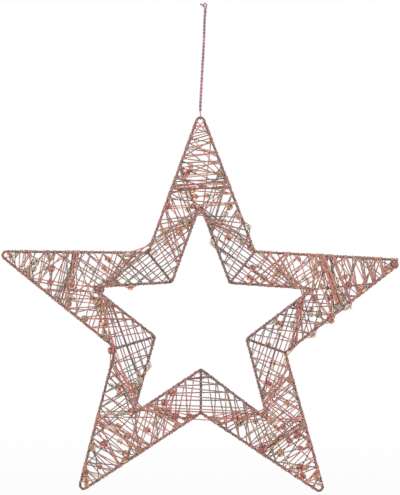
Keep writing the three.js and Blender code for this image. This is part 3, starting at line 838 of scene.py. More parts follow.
@dataclass
class Lacing:
    """The thread laid on the star: the regular lacing, its doubles and the threads that cross it.

    Lengths are in millimetres and angles in degrees. A layer is the depth of its threads' crossings, and a
    hug the distance of its turns from the wire's centre line.
    """

    plan: StarPlan
    inner_layer: float = 2.0
    outer_layer: float = 3.3
    inner_hug: float = 1.3
    outer_hug: float = 1.36
    leave_angle: float = 60.0
    wrap_step: float = 20.0
    rise_share: float = 0.16
    leg_step: float = 1.0
    turn_advance: float = 1.15
    double_share: float = 0.06
    double_gap: tuple = (1.3, 2.1)
    double_lean: float = 0.6
    double_lift: float = 0.5
    cross_depths: tuple = (2.6, 4.3)
    tip_belt_drops: tuple = (6.5, 7.6, 8.9, 10.0, 11.4, 12.8)
    tip_belt_stray: float = 0.8
    tip_drop: float = 6.0
    family_stray: float = 0.015
    back_share: float = 0.4
    companion_gap: float = 1.4
    arch_half: float = 6.5
    arch_flat: float = 2.7
    seed: int = 7
    strands: list[Strand] = field(default_factory=list)

    BAND = Winding(6, (0.09, 0.87), (0.06, 0.67), outer=False)
    FAN = Winding(3, (0.045, 0.2), (0.75, 0.825))
    NOTCH = Winding(4, (0.07, 0.7), (0.07, 0.7))
    TIP_TURNS, TIP_END = 8, 0.878
    BAND_FAMILIES = (Family(1, (0.9, 0.9), (0.08, 0.08)), Family(2, (0.66, 0.84), (0.36, 0.24)))
    NOTCH_FAMILIES = (Family(3, (0.76, 0.91), (0.76, 0.91)),)
    TIP_FAMILIES = (
        Family(4, (0.4, 0.8), (0.52, 0.92)), Family(4, (0.52, 0.92), (0.4, 0.8)),
        Family(1, (0.05, 0.05), (0.48, 0.48)), Family(1, (0.48, 0.48), (0.05, 0.05)),
        Family(3, (0.445, 0.475), (0.46, 0.495)),
    )
    DENSE_FAMILIES = (
        Family(2, (0.42, 0.7), (0.54, 0.84)), Family(2, (0.52, 0.86), (0.42, 0.72)),
        Family(4, (0.43, 0.49), (0.44, 0.5)),
        Family(3, (0.12, 0.34), (0.5, 0.62)), Family(3, (0.5, 0.62), (0.12, 0.34)),
    )
    DENSE_ARM = "right"
    FAMILY_YARNS = (G, G, P, C, P, G)

    def __post_init__(self) -> None:
        """Starts the random draws from a fixed seed."""
        self.random = random.Random(self.seed)

    def wrap(self, end: End, hug: float, start: float, stop: float, advance: float = 0.0) -> list[tuple]:
        """Points round a wire between two angles, in degrees; below zero is the front.

        Args:
            end: the wire's side and where on it the last point lies.
            hug: the path's distance from the wire's centre line.
            start: the first angle.
            stop: the last angle.
            advance: how far each whole turn moves along the wire.

        Returns:
            Points of the plane with their depths.
        """
        side, distance = end
        steps = max(2, round(abs(stop - start) / self.wrap_step))
        points = []
        for step in range(steps + 1):
            angle = start + (stop - start) * step / steps
            shift = advance * abs(stop - angle) / 360
            points.append(self._round_wire(side, distance - shift, hug, angle))
        return points

    def _round_wire(self, side: Side, distance: float, reach: float, angle: float) -> tuple:
        """A point at a distance along a side, and at a reach and an angle from its centre line."""
        place = side.at(distance) + side.out * reach * math.cos(math.radians(angle))
        return (place[0], place[1], reach * math.sin(math.radians(angle)))

    def leg(self, start: tuple, end: tuple, depth: float) -> list[tuple]:
        """The free points of a crossing, which rises from the wire to its depth and comes back.

        Args:
            start: the last point on the first wire.
            end: the first point on the second.
            depth: the crossing's depth.

        Returns:
            The points between them.
        """
        first, last = np.array(start), np.array(end)
        length = np.linalg.norm(last - first)
        steps = max(4, round(length / self.leg_step))
        points = []
        for step in range(1, steps):
            share = step / steps
            point = first + (last - first) * share
            rise = smooth_step(np.array(min(share, 1 - share) / self.rise_share))
            point[2] = point[2] + (depth - point[2]) * rise
            points.append(tuple(point))
        return points

    def zigzag(self, name: str, sides: Sequence[Side], spans: Sequence[tuple], turns: int, outer: bool,
               yarn: ThreadColour) -> None:
        """Lays one regular lacing as an unbroken thread, and doubles some of its crossings.

        Args:
            name: the lacing's name.
            sides: the two sides that it is taken round.
            spans: where it starts and ends on each, in millimetres.
            turns: how many whole turns it makes.
            outer: whether it lies over the first layer.
            yarn: its colour.
        """
        layer, hug = (self.outer_layer, self.outer_hug) if outer else (self.inner_layer, self.inner_hug)
        ends = []
        for half in range(2 * turns + 1):
            low, high = spans[half % 2]
            ends.append((sides[half % 2], low + (high - low) * half / (2 * turns)))
        start = 2 * self.leave_angle
        points, legs = self.wrap(ends[0], hug, start, -self.leave_angle, self.turn_advance), []
        for half in range(1, len(ends)):
            face = Face.FRONT if half % 2 == 1 else Face.BACK
            turn = self.wrap(ends[half], hug, self.leave_angle * face.value, -self.leave_angle * face.value)
            crossing = self.leg(points[-1], turn[0], face.value * layer)
            legs.append((len(points), len(points) + len(crossing), face))
            points += crossing + turn
            self._double(name, ends[half - 1 : half + 1], face, layer + self.double_lift, yarn)
        tone = self.random.random()
        self.strands.append(Strand(name, yarn, self.plan.in_space(points), legs, tone, True))

    def _double(self, name: str, ends: list[End], face: Face, depth: float, yarn: ThreadColour) -> None:
        """Sometimes lays a second thread beside a crossing.

        Args:
            name: the lacing's name.
            ends: the crossing's place on each wire.
            face: its face.
            depth: the second thread's depth.
            yarn: its colour.
        """
        draw, gap = self.random.random(), self.random.uniform(*self.double_gap)
        lean = self.random.uniform(-self.double_lean, self.double_lean)
        if draw < self.double_share:
            (first, start), (second, stop) = ends
            self.cross(name, [(first, start + gap + lean), (second, stop + gap - lean)], face, depth, yarn)

    def cross(self, name: str, ends: list[End], face: Face, depth: float, yarn: ThreadColour) -> None:
        """Lays one thread between two wires, taken once round each.

        Args:
            name: the piece that it belongs to.
            ends: its place on each wire.
            face: the face that it crosses.
            depth: its distance from the star's plane.
            yarn: its colour.
        """
        leave = self.leave_angle * face.value
        start = leave - 360 * face.value
        turns = [self.wrap(end, self.outer_hug, start, leave, self.turn_advance) for end in ends]
        self._keep(name, yarn, turns, self.leg(turns[0][-1], turns[1][-1], face.value * depth), face)

    def _keep(self, name: str, yarn: ThreadColour, turns: list[list], leg: list[tuple], face: Face) -> Strand:
        """Joins the turns round two wires by a leg between them, and keeps the strand.

        Args:
            name: the strand's piece.
            yarn: its colour.
            turns: the points round each wire.
            leg: the points between them.
            face: their face.

        Returns:
            The strand.
        """
        points = turns[0] + leg + turns[1][::-1]
        legs = [(len(turns[0]), len(turns[0]) + len(leg), face)]
        strand = Strand(name, yarn, self.plan.in_space(points), legs, self.random.random())
        self.strands.append(strand)
        return strand

    def lay_regular(self) -> None:
        """Lays each arm's bands, fans and tip, and each notch's crossing, in the yarns by turns."""
        yarns = itertools.cycle((P, C, G))

        def lay(name: str, winding: Winding, first: Side, second: Side) -> None:
            """Lays one lacing by its winding."""
            spans = winding.spans(first, second)
            self.zigzag(f"{name}_lacing", (first, second), spans, winding.turns, winding.outer, next(yarns))

        for arm, arm_name in enumerate(ARM_NAMES):
            sides = self.plan.sides(arm)
            for label, pair in sides.items():
                lay(f"{arm_name}_{label}_band", self.BAND, pair["inner"], pair["outer"])
                lay(f"{arm_name}_{label}_fan", self.FAN, pair["outer"], pair["inner"])
            pair = (sides["left"]["outer"], sides["right"]["outer"])
            height = INNER_WIRE.tip_reach * INNER_WIRE.tip_shares[arm] - self.tip_drop
            spans = [(self._at_height(side, height), side.length * self.TIP_END) for side in pair]
            self.zigzag(f"{arm_name}_tip_lacing", pair, spans, self.TIP_TURNS, True, next(yarns))
            lay(f"{NOTCH_NAMES[arm]}_notch", self.NOTCH, *self.plan.notch_sides(arm))

    def lay_tip_belts(self) -> None:
        """Lays a few threads across each inner tip, just below its bend."""
        for arm in range(ARMS):
            pair = [sides["inner"] for sides in self.plan.sides(arm).values()]
            for order, drop in enumerate(self.tip_belt_drops):
                face = Face.FRONT if order % 2 == 0 else Face.BACK
                strays = [self.random.uniform(-self.tip_belt_stray, self.tip_belt_stray) for _side in pair]
                yarn = (P, C, G)[order % 3]
                ends = [(side, side.length - (drop + stray)) for side, stray in zip(pair, strays)]
                self.cross(f"{yarn.value}_crossings", ends, face, self.inner_hug, yarn)

    def _at_height(self, side: Side, height: float) -> float:
        """The distance along a side at which it stands at a height in its arm.

        Args:
            side: the side.
            height: from the star's centre.

        Returns:
            The distance from its notch.
        """
        axis = side.tip / np.linalg.norm(side.tip)
        start = float(np.dot(side.notch, axis))
        return side.length * (height - start) / (float(np.dot(side.tip, axis)) - start)

    def lay_crossings(self, slides: list["Capsule"]) -> None:
        """Lays the threads read on the arms' plans, and on the dense arm a companion beside each.

        Args:
            slides: the room of each loose bead, which the threads keep out of.
        """
        sides = self.plan.all_sides()
        for arm, arm_name in enumerate(ARM_NAMES):
            for order, (*places, yarn) in enumerate(CROSS_THREADS[arm_name]):
                ends = []
                for point in (self.plan.on_plan(arm, *places[:2]), self.plan.on_plan(arm, *places[2:])):
                    side = min(sides, key=lambda s: s.distance_to(point)[1])
                    ends.append((side, side.distance_to(point)[0]))
                back_first = order % 3 == 0
                self._lay_clear("crossings", ends, back_first, yarn, slides)
                if arm_name == self.DENSE_ARM:
                    other = P if yarn is G else C
                    ends = [(side, min(at + self.companion_gap, side.length)) for side, at in ends]
                    self._lay_clear("crossings", ends, back_first, other, slides)

    def _lay_clear(self, kind: str, ends: list[End], back_first: bool, yarn: ThreadColour,
                   slides: list["Capsule"]) -> None:
        """Lays one thread on the first face where it keeps clear of every loose bead's slide.

        Args:
            kind: the last word of the name of its piece.
            ends: its place on each wire.
            back_first: whether the back is tried before the front.
            yarn: its colour.
            slides: the room of each loose bead.
        """
        depth = self.random.uniform(*self.cross_depths)
        for face in (Face.BACK, Face.FRONT) if back_first else (Face.FRONT, Face.BACK):
            line = self.plan.in_space([(*side.at(at), face.value * depth) for side, at in ends])
            if all(slide.clear_of(line, THREAD) for slide in slides):
                self.cross(f"{yarn.value}_{kind}", ends, face, depth, yarn)
                return
        LOG.info("a thread of the %s has no free face", kind)

    def lay_families(self, slides: list["Capsule"]) -> None:
        """Lays the families of like threads over each arm's bands and tip and over each notch.

        Args:
            slides: the room of each loose bead, which the threads keep out of.
        """
        for arm, arm_name in enumerate(ARM_NAMES):
            sides = self.plan.sides(arm)
            over_tip = self.TIP_FAMILIES + (self.DENSE_FAMILIES if arm_name == self.DENSE_ARM else ())
            runs = [(self.BAND_FAMILIES, pair["inner"], pair["outer"]) for pair in sides.values()]
            runs.append((over_tip, sides["left"]["outer"], sides["right"]["outer"]))
            runs.append((self.NOTCH_FAMILIES, *self.plan.notch_sides(arm)))
            for families, first, second in runs:
                for family in families:
                    self._lay_family(family, first, second, slides)

    def _lay_family(self, family: Family, first: Side, second: Side, slides: list["Capsule"]) -> None:
        """Lays one family between two sides.

        Args:
            family: the threads.
            first: one side.
            second: the other.
            slides: the room of each loose bead.
        """
        for order in range(family.count):
            share = order / max(1, family.count - 1)
            ends = []
            for side, (low, high) in ((first, family.first), (second, family.second)):
                stray = self.random.uniform(-self.family_stray, self.family_stray)
                ends.append((side, side.length * (low + (high - low) * share + stray)))
            yarn = self.random.choice(self.FAMILY_YARNS)
            self._lay_clear("weave", ends, self.random.random() < self.back_share, yarn, slides)

    def arch(self, end: End, angle: float, lift: float, yarn: ThreadColour) -> Strand:
        """Lays a short thread that arches off a wire and back, to carry a bead beside it.

        Args:
            end: the wire's side and the arch's middle on it.
            angle: which way it stands from the wire, in degrees from the side's outward way.
            lift: the arch's height over the wire's centre line.
            yarn: its colour.

        Returns:
            The strand.
        """
        side, distance = end
        hug, half = self.outer_hug, self.arch_half
        turns = [
            self.wrap((side, distance + sign * half), hug, angle - 360, angle, -sign * self.turn_advance)
            for sign in (-1, 1)
        ]
        steps = round(2 * half / self.leg_step)
        leg = []
        for step in range(1, steps):
            run = -half + 2 * half * step / steps
            rise = smooth_step(np.array((half - abs(run)) / (half - self.arch_flat)))
            leg.append(self._round_wire(side, distance + run, hug + (lift - hug) * float(rise), angle))
        face = Face.FRONT if angle < 0 else Face.BACK
        return self._keep(f"{yarn.value}_crossings", yarn, turns, leg, face)


@dataclass(frozen=True)
class Capsule:
    """The room of a bead: a line that its middle may slide along, and its radius, in millimetres."""

    start: Vec
    end: Vec
    radius: float

    def clear_of(self, line: Vec, room: float) -> bool:
        """Whether a straight thread, by its two ends, keeps off the bead by a room all along its slide."""
        points = line[0] + (line[1] - line[0]) * np.linspace(0, 1, LINE_SAMPLES)[:, None]
        return float(self.gaps(points).min()) > room

    def _nearest(self, points: Vec) -> Vec:
        """For each point, the nearest place of the bead's middle on its slide.

        Args:
            points: places in space.

        Returns:
            The nearest places.
        """
        along = self.end - self.start
        length = float(np.dot(along, along))
        share = np.clip((points - self.start) @ along / length, 0, 1) if length > 0 else np.zeros(len(points))
        return self.start + share[:, None] * along

    def gaps(self, points: Vec) -> Vec:
        """Each point's distance from the bead's surface, below zero inside it."""
        return np.linalg.norm(points - self._nearest(points), axis=1) - self.radius

    def push_out(self, points: Vec, room: float) -> None:
        """Moves the points nearer to the bead's surface than a room straight out, in place.

        Args:
            points: a thread's points.
            room: how near to the bead they may stay.
        """
        nearest = self._nearest(points)
        offset = points - nearest
        reach = np.linalg.norm(offset, axis=1)
        need = self.radius + room
        inside = (reach < need) & (reach > 0)
        points[inside] = nearest[inside] + offset[inside] * (need / reach[inside])[:, None]


@dataclass
class Bead:
    """A glass bead: a loose one travels each way along its axis, and a fast one is held by its strand."""

    centre: Vec
    axis: Vec
    size: float
    glass: BeadColour
    strand: Optional[Strand] = None
    travel: float = 0.0

    def room(self, more: float = 0.0) -> Capsule:
        """The room that the bead takes all along its slide, with more round it where asked for."""
        reach = self.axis * self.travel
        return Capsule(self.centre - reach, self.centre + reach, self.size / 2 + more)


@dataclass
class BeadStore:
    """The glass beads: the loose ones on their slides and the fast ones threaded on the lacing.

    Lengths are in millimetres and angles in degrees. A detail is a bead's segments round its bore and the
    points of its wall's section.
    """

    plan: StarPlan
    lacing: Lacing
    shop: Shop
    finishes: "Finishes"
    diameters: tuple = (5.2, 6.0, 6.4)
    size_stray: tuple = (1.0, 1.1)
    length_share: float = 0.86
    bore_share: float = 0.3
    fast_detail: tuple = (14, 10)
    loose_detail: tuple = (26, 16)
    reach: float = 7.0
    places_tried: int = 400
    wire_room: float = 3.5
    clearance: float = 0.15
    corner_room: float = 0.5
    slide_blend: float = 1.5
    carried_within: float = 1.2
    part_rounds: int = 2
    same_bead: float = 4.4
    tilt: float = 40.0
    tilt_blend: float = 4.5
    wire_reach: float = 3.9
    wire_rest: float = 1.45
    outside_gap: float = 1.2
    arch_tilt: float = 50.0
    arch_shares: tuple = (0.06, 0.9)
    seed: int = 11
    large: tuple = ("lower_left_bead_2", "lower_right_bead_2", "right_bead_2")
    small: tuple = (
        "top_bead_3", "left_bead_1", "lower_left_bead_1", "lower_right_bead_4", "right_bead_4",
    )
    fast: list[Bead] = field(default_factory=list)

    def __post_init__(self) -> None:
        """Reads the loose beads' places and slides from the frame."""
        self.random = random.Random(self.seed)
        self.loose = {}
        small, medium, large = self.diameters
        slots = {part["node"]: part["material_slot"] for part in frame["record"]["subparts"]}
        for joint in frame["joints"]:
            if joint["type"] != "slide":
                continue
            name = joint["child"]
            low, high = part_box(name)
            centre = np.array([(a + b) / 2 / MM for a, b in zip(low, high)])
            size = large if name in self.large else small if name in self.small else medium
            travel = max(abs(limit) for limit in joint["range_m"]) / MM
            axis = np.array(joint["axis"], float)
            self.loose[name] = Bead(centre, axis, size, BeadColour(slots[name]), travel=travel)

    def slides(self, more: float = 0.0) -> list[Capsule]:
        """The room of each loose bead all along its slide."""
        return [bead.room(more) for bead in self.loose.values()]

    def thread_fast_beads(self) -> None:
        """Puts each bead of the arms' plans beside its wire or on the strand that passes nearest to it."""
        places, owners, axes = self._free_places()
        taken_rooms = self.slides(self.corner_room)
        flat = places[:, (0, 2)] - self.plan.centre
        taken = [bead.centre[[0, 2]] - self.plan.centre for bead in self.loose.values()]
        for arm, arm_name in enumerate(ARM_NAMES):
            for across, down, glass in ARM_BEADS[arm_name]:
                size = self.random.choice(self.diameters) * self.random.uniform(*self.size_stray)
                wanted = self.plan.on_plan(arm, across, down)
                if min(np.linalg.norm(wanted - place) for place in taken) < self.same_bead:
                    continue
                taken.append(wanted)
                if self._beside_wire(wanted, size, glass, taken_rooms):
                    continue
                distance = np.linalg.norm(flat - wanted, axis=1)
                for index in np.argsort(distance)[: self.places_tried]:
                    if distance[index] > self.reach:
                        break
                    if self._is_free(places[index], size, taken_rooms):
                        axis = self._tilted(axes[index])
                        self._keep(Bead(places[index].copy(), axis, size, glass, owners[index]), taken_rooms)
                        break
                else:
                    LOG.info("no room for the bead at %s %d %d", arm_name, across, down)

    def _is_free(self, centre: Vec, size: float, rooms: list[Capsule]) -> bool:
        """Whether a bead of a size has room at a place."""
        return all(room.gaps(centre[None])[0] >= size / 2 + self.clearance for room in rooms)

    def _keep(self, bead: Bead, rooms: list[Capsule]) -> None:
        """Keeps a fast bead and the room that it takes."""
        self.fast.append(bead)
        rooms.append(bead.room())

    def _beside_wire(self, wanted: Vec, size: float, glass: BeadColour, rooms: list[Capsule]) -> bool:
        """Puts a bead that belongs on a star wire beside it, on an arch of thread.

        Args:
            wanted: the bead's place on the star's plane.
            size: its diameter.
            glass: its colour.
            rooms: the rooms taken so far; the bead's own is added.

        Returns:
            Whether the bead was put there.
        """
        side = min(self.plan.wire_sides(), key=lambda s: s.distance_to(wanted)[1])
        along, gap = side.distance_to(wanted)
        low, high = (side.length * share for share in self.arch_shares)
        if gap > self.wire_reach or not low < along < high:
            return False
        outside = np.dot(wanted - side.at(along), side.out) > self.outside_gap
        lift = size / 2 + self.wire_rest
        lean = min(math.degrees(math.acos(min(1.0, gap / lift))), self.arch_tilt)
        angle = lean if outside else 180 - lean
        for turn in (-angle, angle):
            place = side.at(along) + side.out * math.cos(math.radians(turn)) * lift
            depth = math.sin(math.radians(turn)) * lift
            centre = self.plan.in_space([(*place, depth)])[0]
            if self._is_free(centre, size, rooms):
                strand = self.lacing.arch((side, along), turn, lift, self.random.choice((P, C, G)))
                axis = np.array([side.along[0], 0.0, side.along[1]])
                self._keep(Bead(centre, axis, size, glass, strand), rooms)
                return True
        return False

    def _tilted(self, heading: Vec) -> Vec:
        """A bead's axis: its thread's heading, tipped to the front or the back as slack thread lets it.

        Args:
            heading: the thread's way.

        Returns:
            The axis.
        """
        angle = math.radians(self.random.uniform(-self.tilt, self.tilt))
        flat = heading * (1, 0, 1)
        flat = flat / np.linalg.norm(flat)
        return flat * math.cos(angle) + np.array([0.0, math.sin(angle), 0.0])

    def bend_threads(self) -> None:
        """Bends the threads to the beads; regular ones stay as laid where a loose bead slides."""
        laid = [strand.points.copy() for strand in self.lacing.strands]
        self._lead_threads()
        self._part_threads()
        slides = self.slides()
        for strand, points in zip(self.lacing.strands, laid):
            if strand.fixed:
                gap = np.min([slide.gaps(points) for slide in slides], axis=0)
                share = smooth_step(gap / self.slide_blend)[:, None]
                strand.points = points + (strand.points - points) * share
                for bead in self.loose.values():
                    self._lead_slide(strand, bead)

    def _nearest_on(self, leg: Vec, bead: Bead) -> tuple[int, float]:
        """The number of a crossing's point nearest to a bead's middle, and how far away it is."""
        distance = np.linalg.norm(leg - bead.centre, axis=1)
        return int(distance.argmin()), distance.min()

    def _lead_slide(self, strand: Strand, bead: Bead) -> None:
        """Leads a thread along a loose bead's axis as far as it slides, if the thread carries it.

        Args:
            strand: the thread.
            bead: the loose bead.
        """
        reach = bead.travel + bead.size / 2
        for start, end, _face in strand.legs:
            leg = strand.points[start:end]
            along = (leg - bead.centre) @ bead.axis
            on_axis = bead.centre + along[:, None] * bead.axis
            if self._nearest_on(leg, bead)[1] < self.carried_within:
                share = smooth_step(1 - (np.abs(along) - reach) / self.tilt_blend)[:, None]
                leg += (on_axis - leg) * share

    def _lead_threads(self) -> None:
        """Leads each thread straight through the bore of each fast bead that it carries."""
        for bead in self.fast:
            half = bead.size * self.length_share / 2
            for start, end, _face in bead.strand.legs:
                leg = bead.strand.points[start:end]
                nearest, distance = self._nearest_on(leg, bead)
                if distance > half:
                    continue
                steps = np.linalg.norm(np.diff(leg, axis=0), axis=1)
                run = np.concatenate(([0.0], np.cumsum(steps)))
                run = run - run[nearest]
                heading = leg[min(nearest + 1, len(leg) - 1)] - leg[max(nearest - 1, 0)]
                axis = bead.axis if np.dot(heading, bead.axis) > 0 else -bead.axis
                share = smooth_step(1 - (np.abs(run) - half) / self.tilt_blend)[:, None]
                leg += (bead.centre + run[:, None] * axis - leg) * share

    def _free_places(self) -> tuple[Vec, list[Strand], Vec]:
        """Places on the crossings that are clear of the wires, with their strands and headings.

        Returns:
            The places, strands and headings.
        """
        places, owners, axes = [], [], []
        for strand in self.lacing.strands:
            for start, end, _face in strand.legs:
                for index in range(start + 1, end - 1):
                    heading = strand.points[index + 1] - strand.points[index - 1]
                    places.append(strand.points[index])
                    owners.append(strand)
                    axes.append(heading / np.linalg.norm(heading))
        places, axes = np.array(places), np.array(axes)
        room = np.full(len(places), np.inf)
        flat = places[:, (0, 2)] - self.plan.centre
        for side in self.plan.all_sides():
            along = np.clip((flat - side.notch) @ side.along, 0, side.length)
            nearest = side.notch + along[:, None] * side.along
            gap = np.hypot(np.linalg.norm(flat - nearest, axis=1), places[:, 1])
            room = np.minimum(room, gap)
        free = room > self.wire_room
        owners = [owner for owner, good in zip(owners, free) if good]
        return places[free], owners, axes[free]

    def _part_threads(self) -> None:
        """Bends each thread round the fast beads that it doesn't carry, and off the loose beads' slides."""
        half = THREAD / 2
        slides = self.slides()
        rooms = [(bead.strand, bead.room()) for bead in self.fast]
        for strand in self.lacing.strands:
            for start, end, _face in strand.legs:
                leg = strand.points[start:end]
                for _round in range(self.part_rounds):
                    for owner, room in rooms:
                        if owner is not strand:
                            room.push_out(leg, half)
                    for slide in [] if strand.fixed else slides:
                        slide.push_out(leg, half + self.corner_room)

    def build(self) -> None:
        """Makes the fast beads, a piece for each glass, and each loose bead as its own piece."""
        for glass in BeadColour:
            group = [bead for bead in self.fast if bead.glass is glass]
            self._piece(f"fast_{glass.value}s", group, self.fast_detail, "star")
        for name, bead in self.loose.items():
            piece = self._piece(f"{name}_glass", [bead], self.loose_detail, name)
            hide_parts(name)

    def _piece(self, name: str, beads: Sequence[Bead], detail: tuple[int, int], body: str) -> Piece:
        """One piece of beads of one glass.

        Args:
            name: its name.
            beads: its beads.
            detail: their segments and section points.
            body: the body that carries it.

        Returns:
            The piece.
        """
        glass = beads[0].glass
        mesh = bpy.data.meshes.new(name + "_points")
        mesh.from_pydata([tuple(bead.centre * MM) for bead in beads], [], [])
        columns = {
            "axis": ("FLOAT_VECTOR", "vector", [bead.axis for bead in beads]),
            "size": ("FLOAT", "value", [bead.size * MM for bead in beads]),
            "tone": ("FLOAT", "value", [self.random.random() for _bead in beads]),
        }
        for label, (kind, key, rows) in columns.items():
            values = np.array(rows, np.float32).ravel()
            mesh.attributes.new(label, kind, "POINT").data.foreach_set(key, values)
        values = {
            "Bore Share": self.bore_share,
            "Length Share": self.length_share,
            "Segments": detail[0],
            "Section Points": detail[1],
            "Material": self.finishes.glass(glass),
        }
        return settle(self.shop.shape(name, mesh, self.shop.bead_shape, values), body)


def settle(piece: Piece, body: str) -> Piece:
    """Puts a piece on its body, reports it and gives it.

    Args:
        piece: what is made ready.
        body: the body that carries it.

    Returns:
        The piece.
    """
    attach(piece, body)
    count = sum(len(polygon.vertices) - 2 for polygon in piece.data.polygons)
    LOG.info("%s on %s: %d triangles", piece.name, body, count)
    return piece


@dataclass(frozen=True)
class YarnFinish:
    """A metallic yarn that drifts between three screen colours, with how much of the second shows."""

    main: Colour
    second: Colour
    third: Colour
    second_level: float = 0.5
    metallic: float = 0.35


@dataclass(frozen=True)
class GlassFinish:
    """A glossy bead: its glass, the painted shade inside its bore and its streaks."""

    glass: Colour
    # The bore's colour is painted shade on the inner wall of the hole
    bore: Colour
    streak: Colour


YARN_FINISHES = {
    P: YarnFinish((209, 131, 129), (170, 144, 128), (211, 151, 124), 0.45),
    C: YarnFinish((203, 148, 124), (171, 143, 127), (206, 133, 128), 0.42),
    G: YarnFinish((153, 137, 131), (188, 133, 130), (131, 118, 111), 0.42),
    ThreadColour.MAUVE: YarnFinish((176, 122, 134), (136, 120, 122), (192, 148, 152), 0.45),
}
# For each glass: its colour, the painted shade of its bore's inner wall and its streaks
GLASS_FINISHES = {
    GOLD: GlassFinish((218, 178, 136), (112, 74, 50), (236, 204, 166)),
    COPPER: GlassFinish((226, 164, 132), (116, 64, 48), (240, 192, 160)),
    CREAM: GlassFinish((236, 220, 200), (150, 112, 88), (248, 238, 224)),
    RED: GlassFinish((212, 124, 116), (106, 46, 46), (228, 152, 140)),
    GREEN: GlassFinish((218, 214, 196), (124, 114, 94), (236, 232, 218)),
}
WIRE_LACQUER = ((128, 93, 82), (104, 82, 74), (166, 127, 110))


@dataclass(frozen=True)
class YarnLook:
    """What all the yarns share. Lengths in metres; a span is the two levels between which a mask rises."""

    drift_length: float = 0.02
    fleck_length: float = 0.0022
    grain_scale: float = 4200.0
    foil_scale: float = 1500.0
    glint_span: tuple = (0.80, 0.92)
    second_level: float = 0.62
    second_reach: float = 0.3
    second_width: float = 0.1
    third_span: tuple = (0.56, 0.68)
    fleck_span: tuple = (0.36, 0.54)
    fleck_dark: float = 0.62
    glint_bright: float = 1.7
    glint_metal: float = 0.5
    roughness: float = 0.55
    glint_gloss: float = 0.28
    sheen: float = 0.15
    bump: tuple = (0.00008, 0.6)


@dataclass(frozen=True)
class HardLook:
    """A hard surface with clouds and grain, each of a scale and of a span between whose levels it shows.

    The roughness is given at the grain's two levels, the bump as a height in metres and a strength, and the
    shader's plain values by name.
    """

    scales: Pair
    cloud_span: Pair
    grain_span: Pair
    roughness: Pair
    bump: Pair
    levels: dict[str, float]


# The inputs of the group of clouds and grain, each with the detail of its noise
SPECK_SCALES = {"Cloud Scale": 3.0, "Grain Scale": 4.0}
YARN_LOOK = YarnLook()
WIRE_LOOK = HardLook(
    (90.0, 1600.0), (0.4, 0.65), (0.3, 0.7), (0.5, 0.34), (0.00005, 0.5),
    {"Metallic": 0.6, "Coat Weight": 0.25},
)
WIRE_WORN_SPAN = (0.6, 0.72)
GLASS_LOOK = HardLook(
    (420.0, 2400.0), (0.45, 0.7), (0.3, 0.7), (0.06, 0.16), (0.0001, 0.3),
    {"Transmission Weight": 0.78, "IOR": 1.52, "Coat Weight": 0.3, "Coat Roughness": 0.05},
)
# Where the bore's inner wall is darkened as painted shade, by how far its section faces inward
GLASS_BORE_SHADE_SPAN = (-0.3, -0.7)
# How far apart the noise of two tones and of two plies lies
TONE_SPREAD, PLY_SPREAD = 91.0, 3.7
# How far the noise of the second drift and of the flecks lies from the first drift's
SECOND_DRIFT_SHIFT, FLECK_SHIFT = 40.0, 17.0


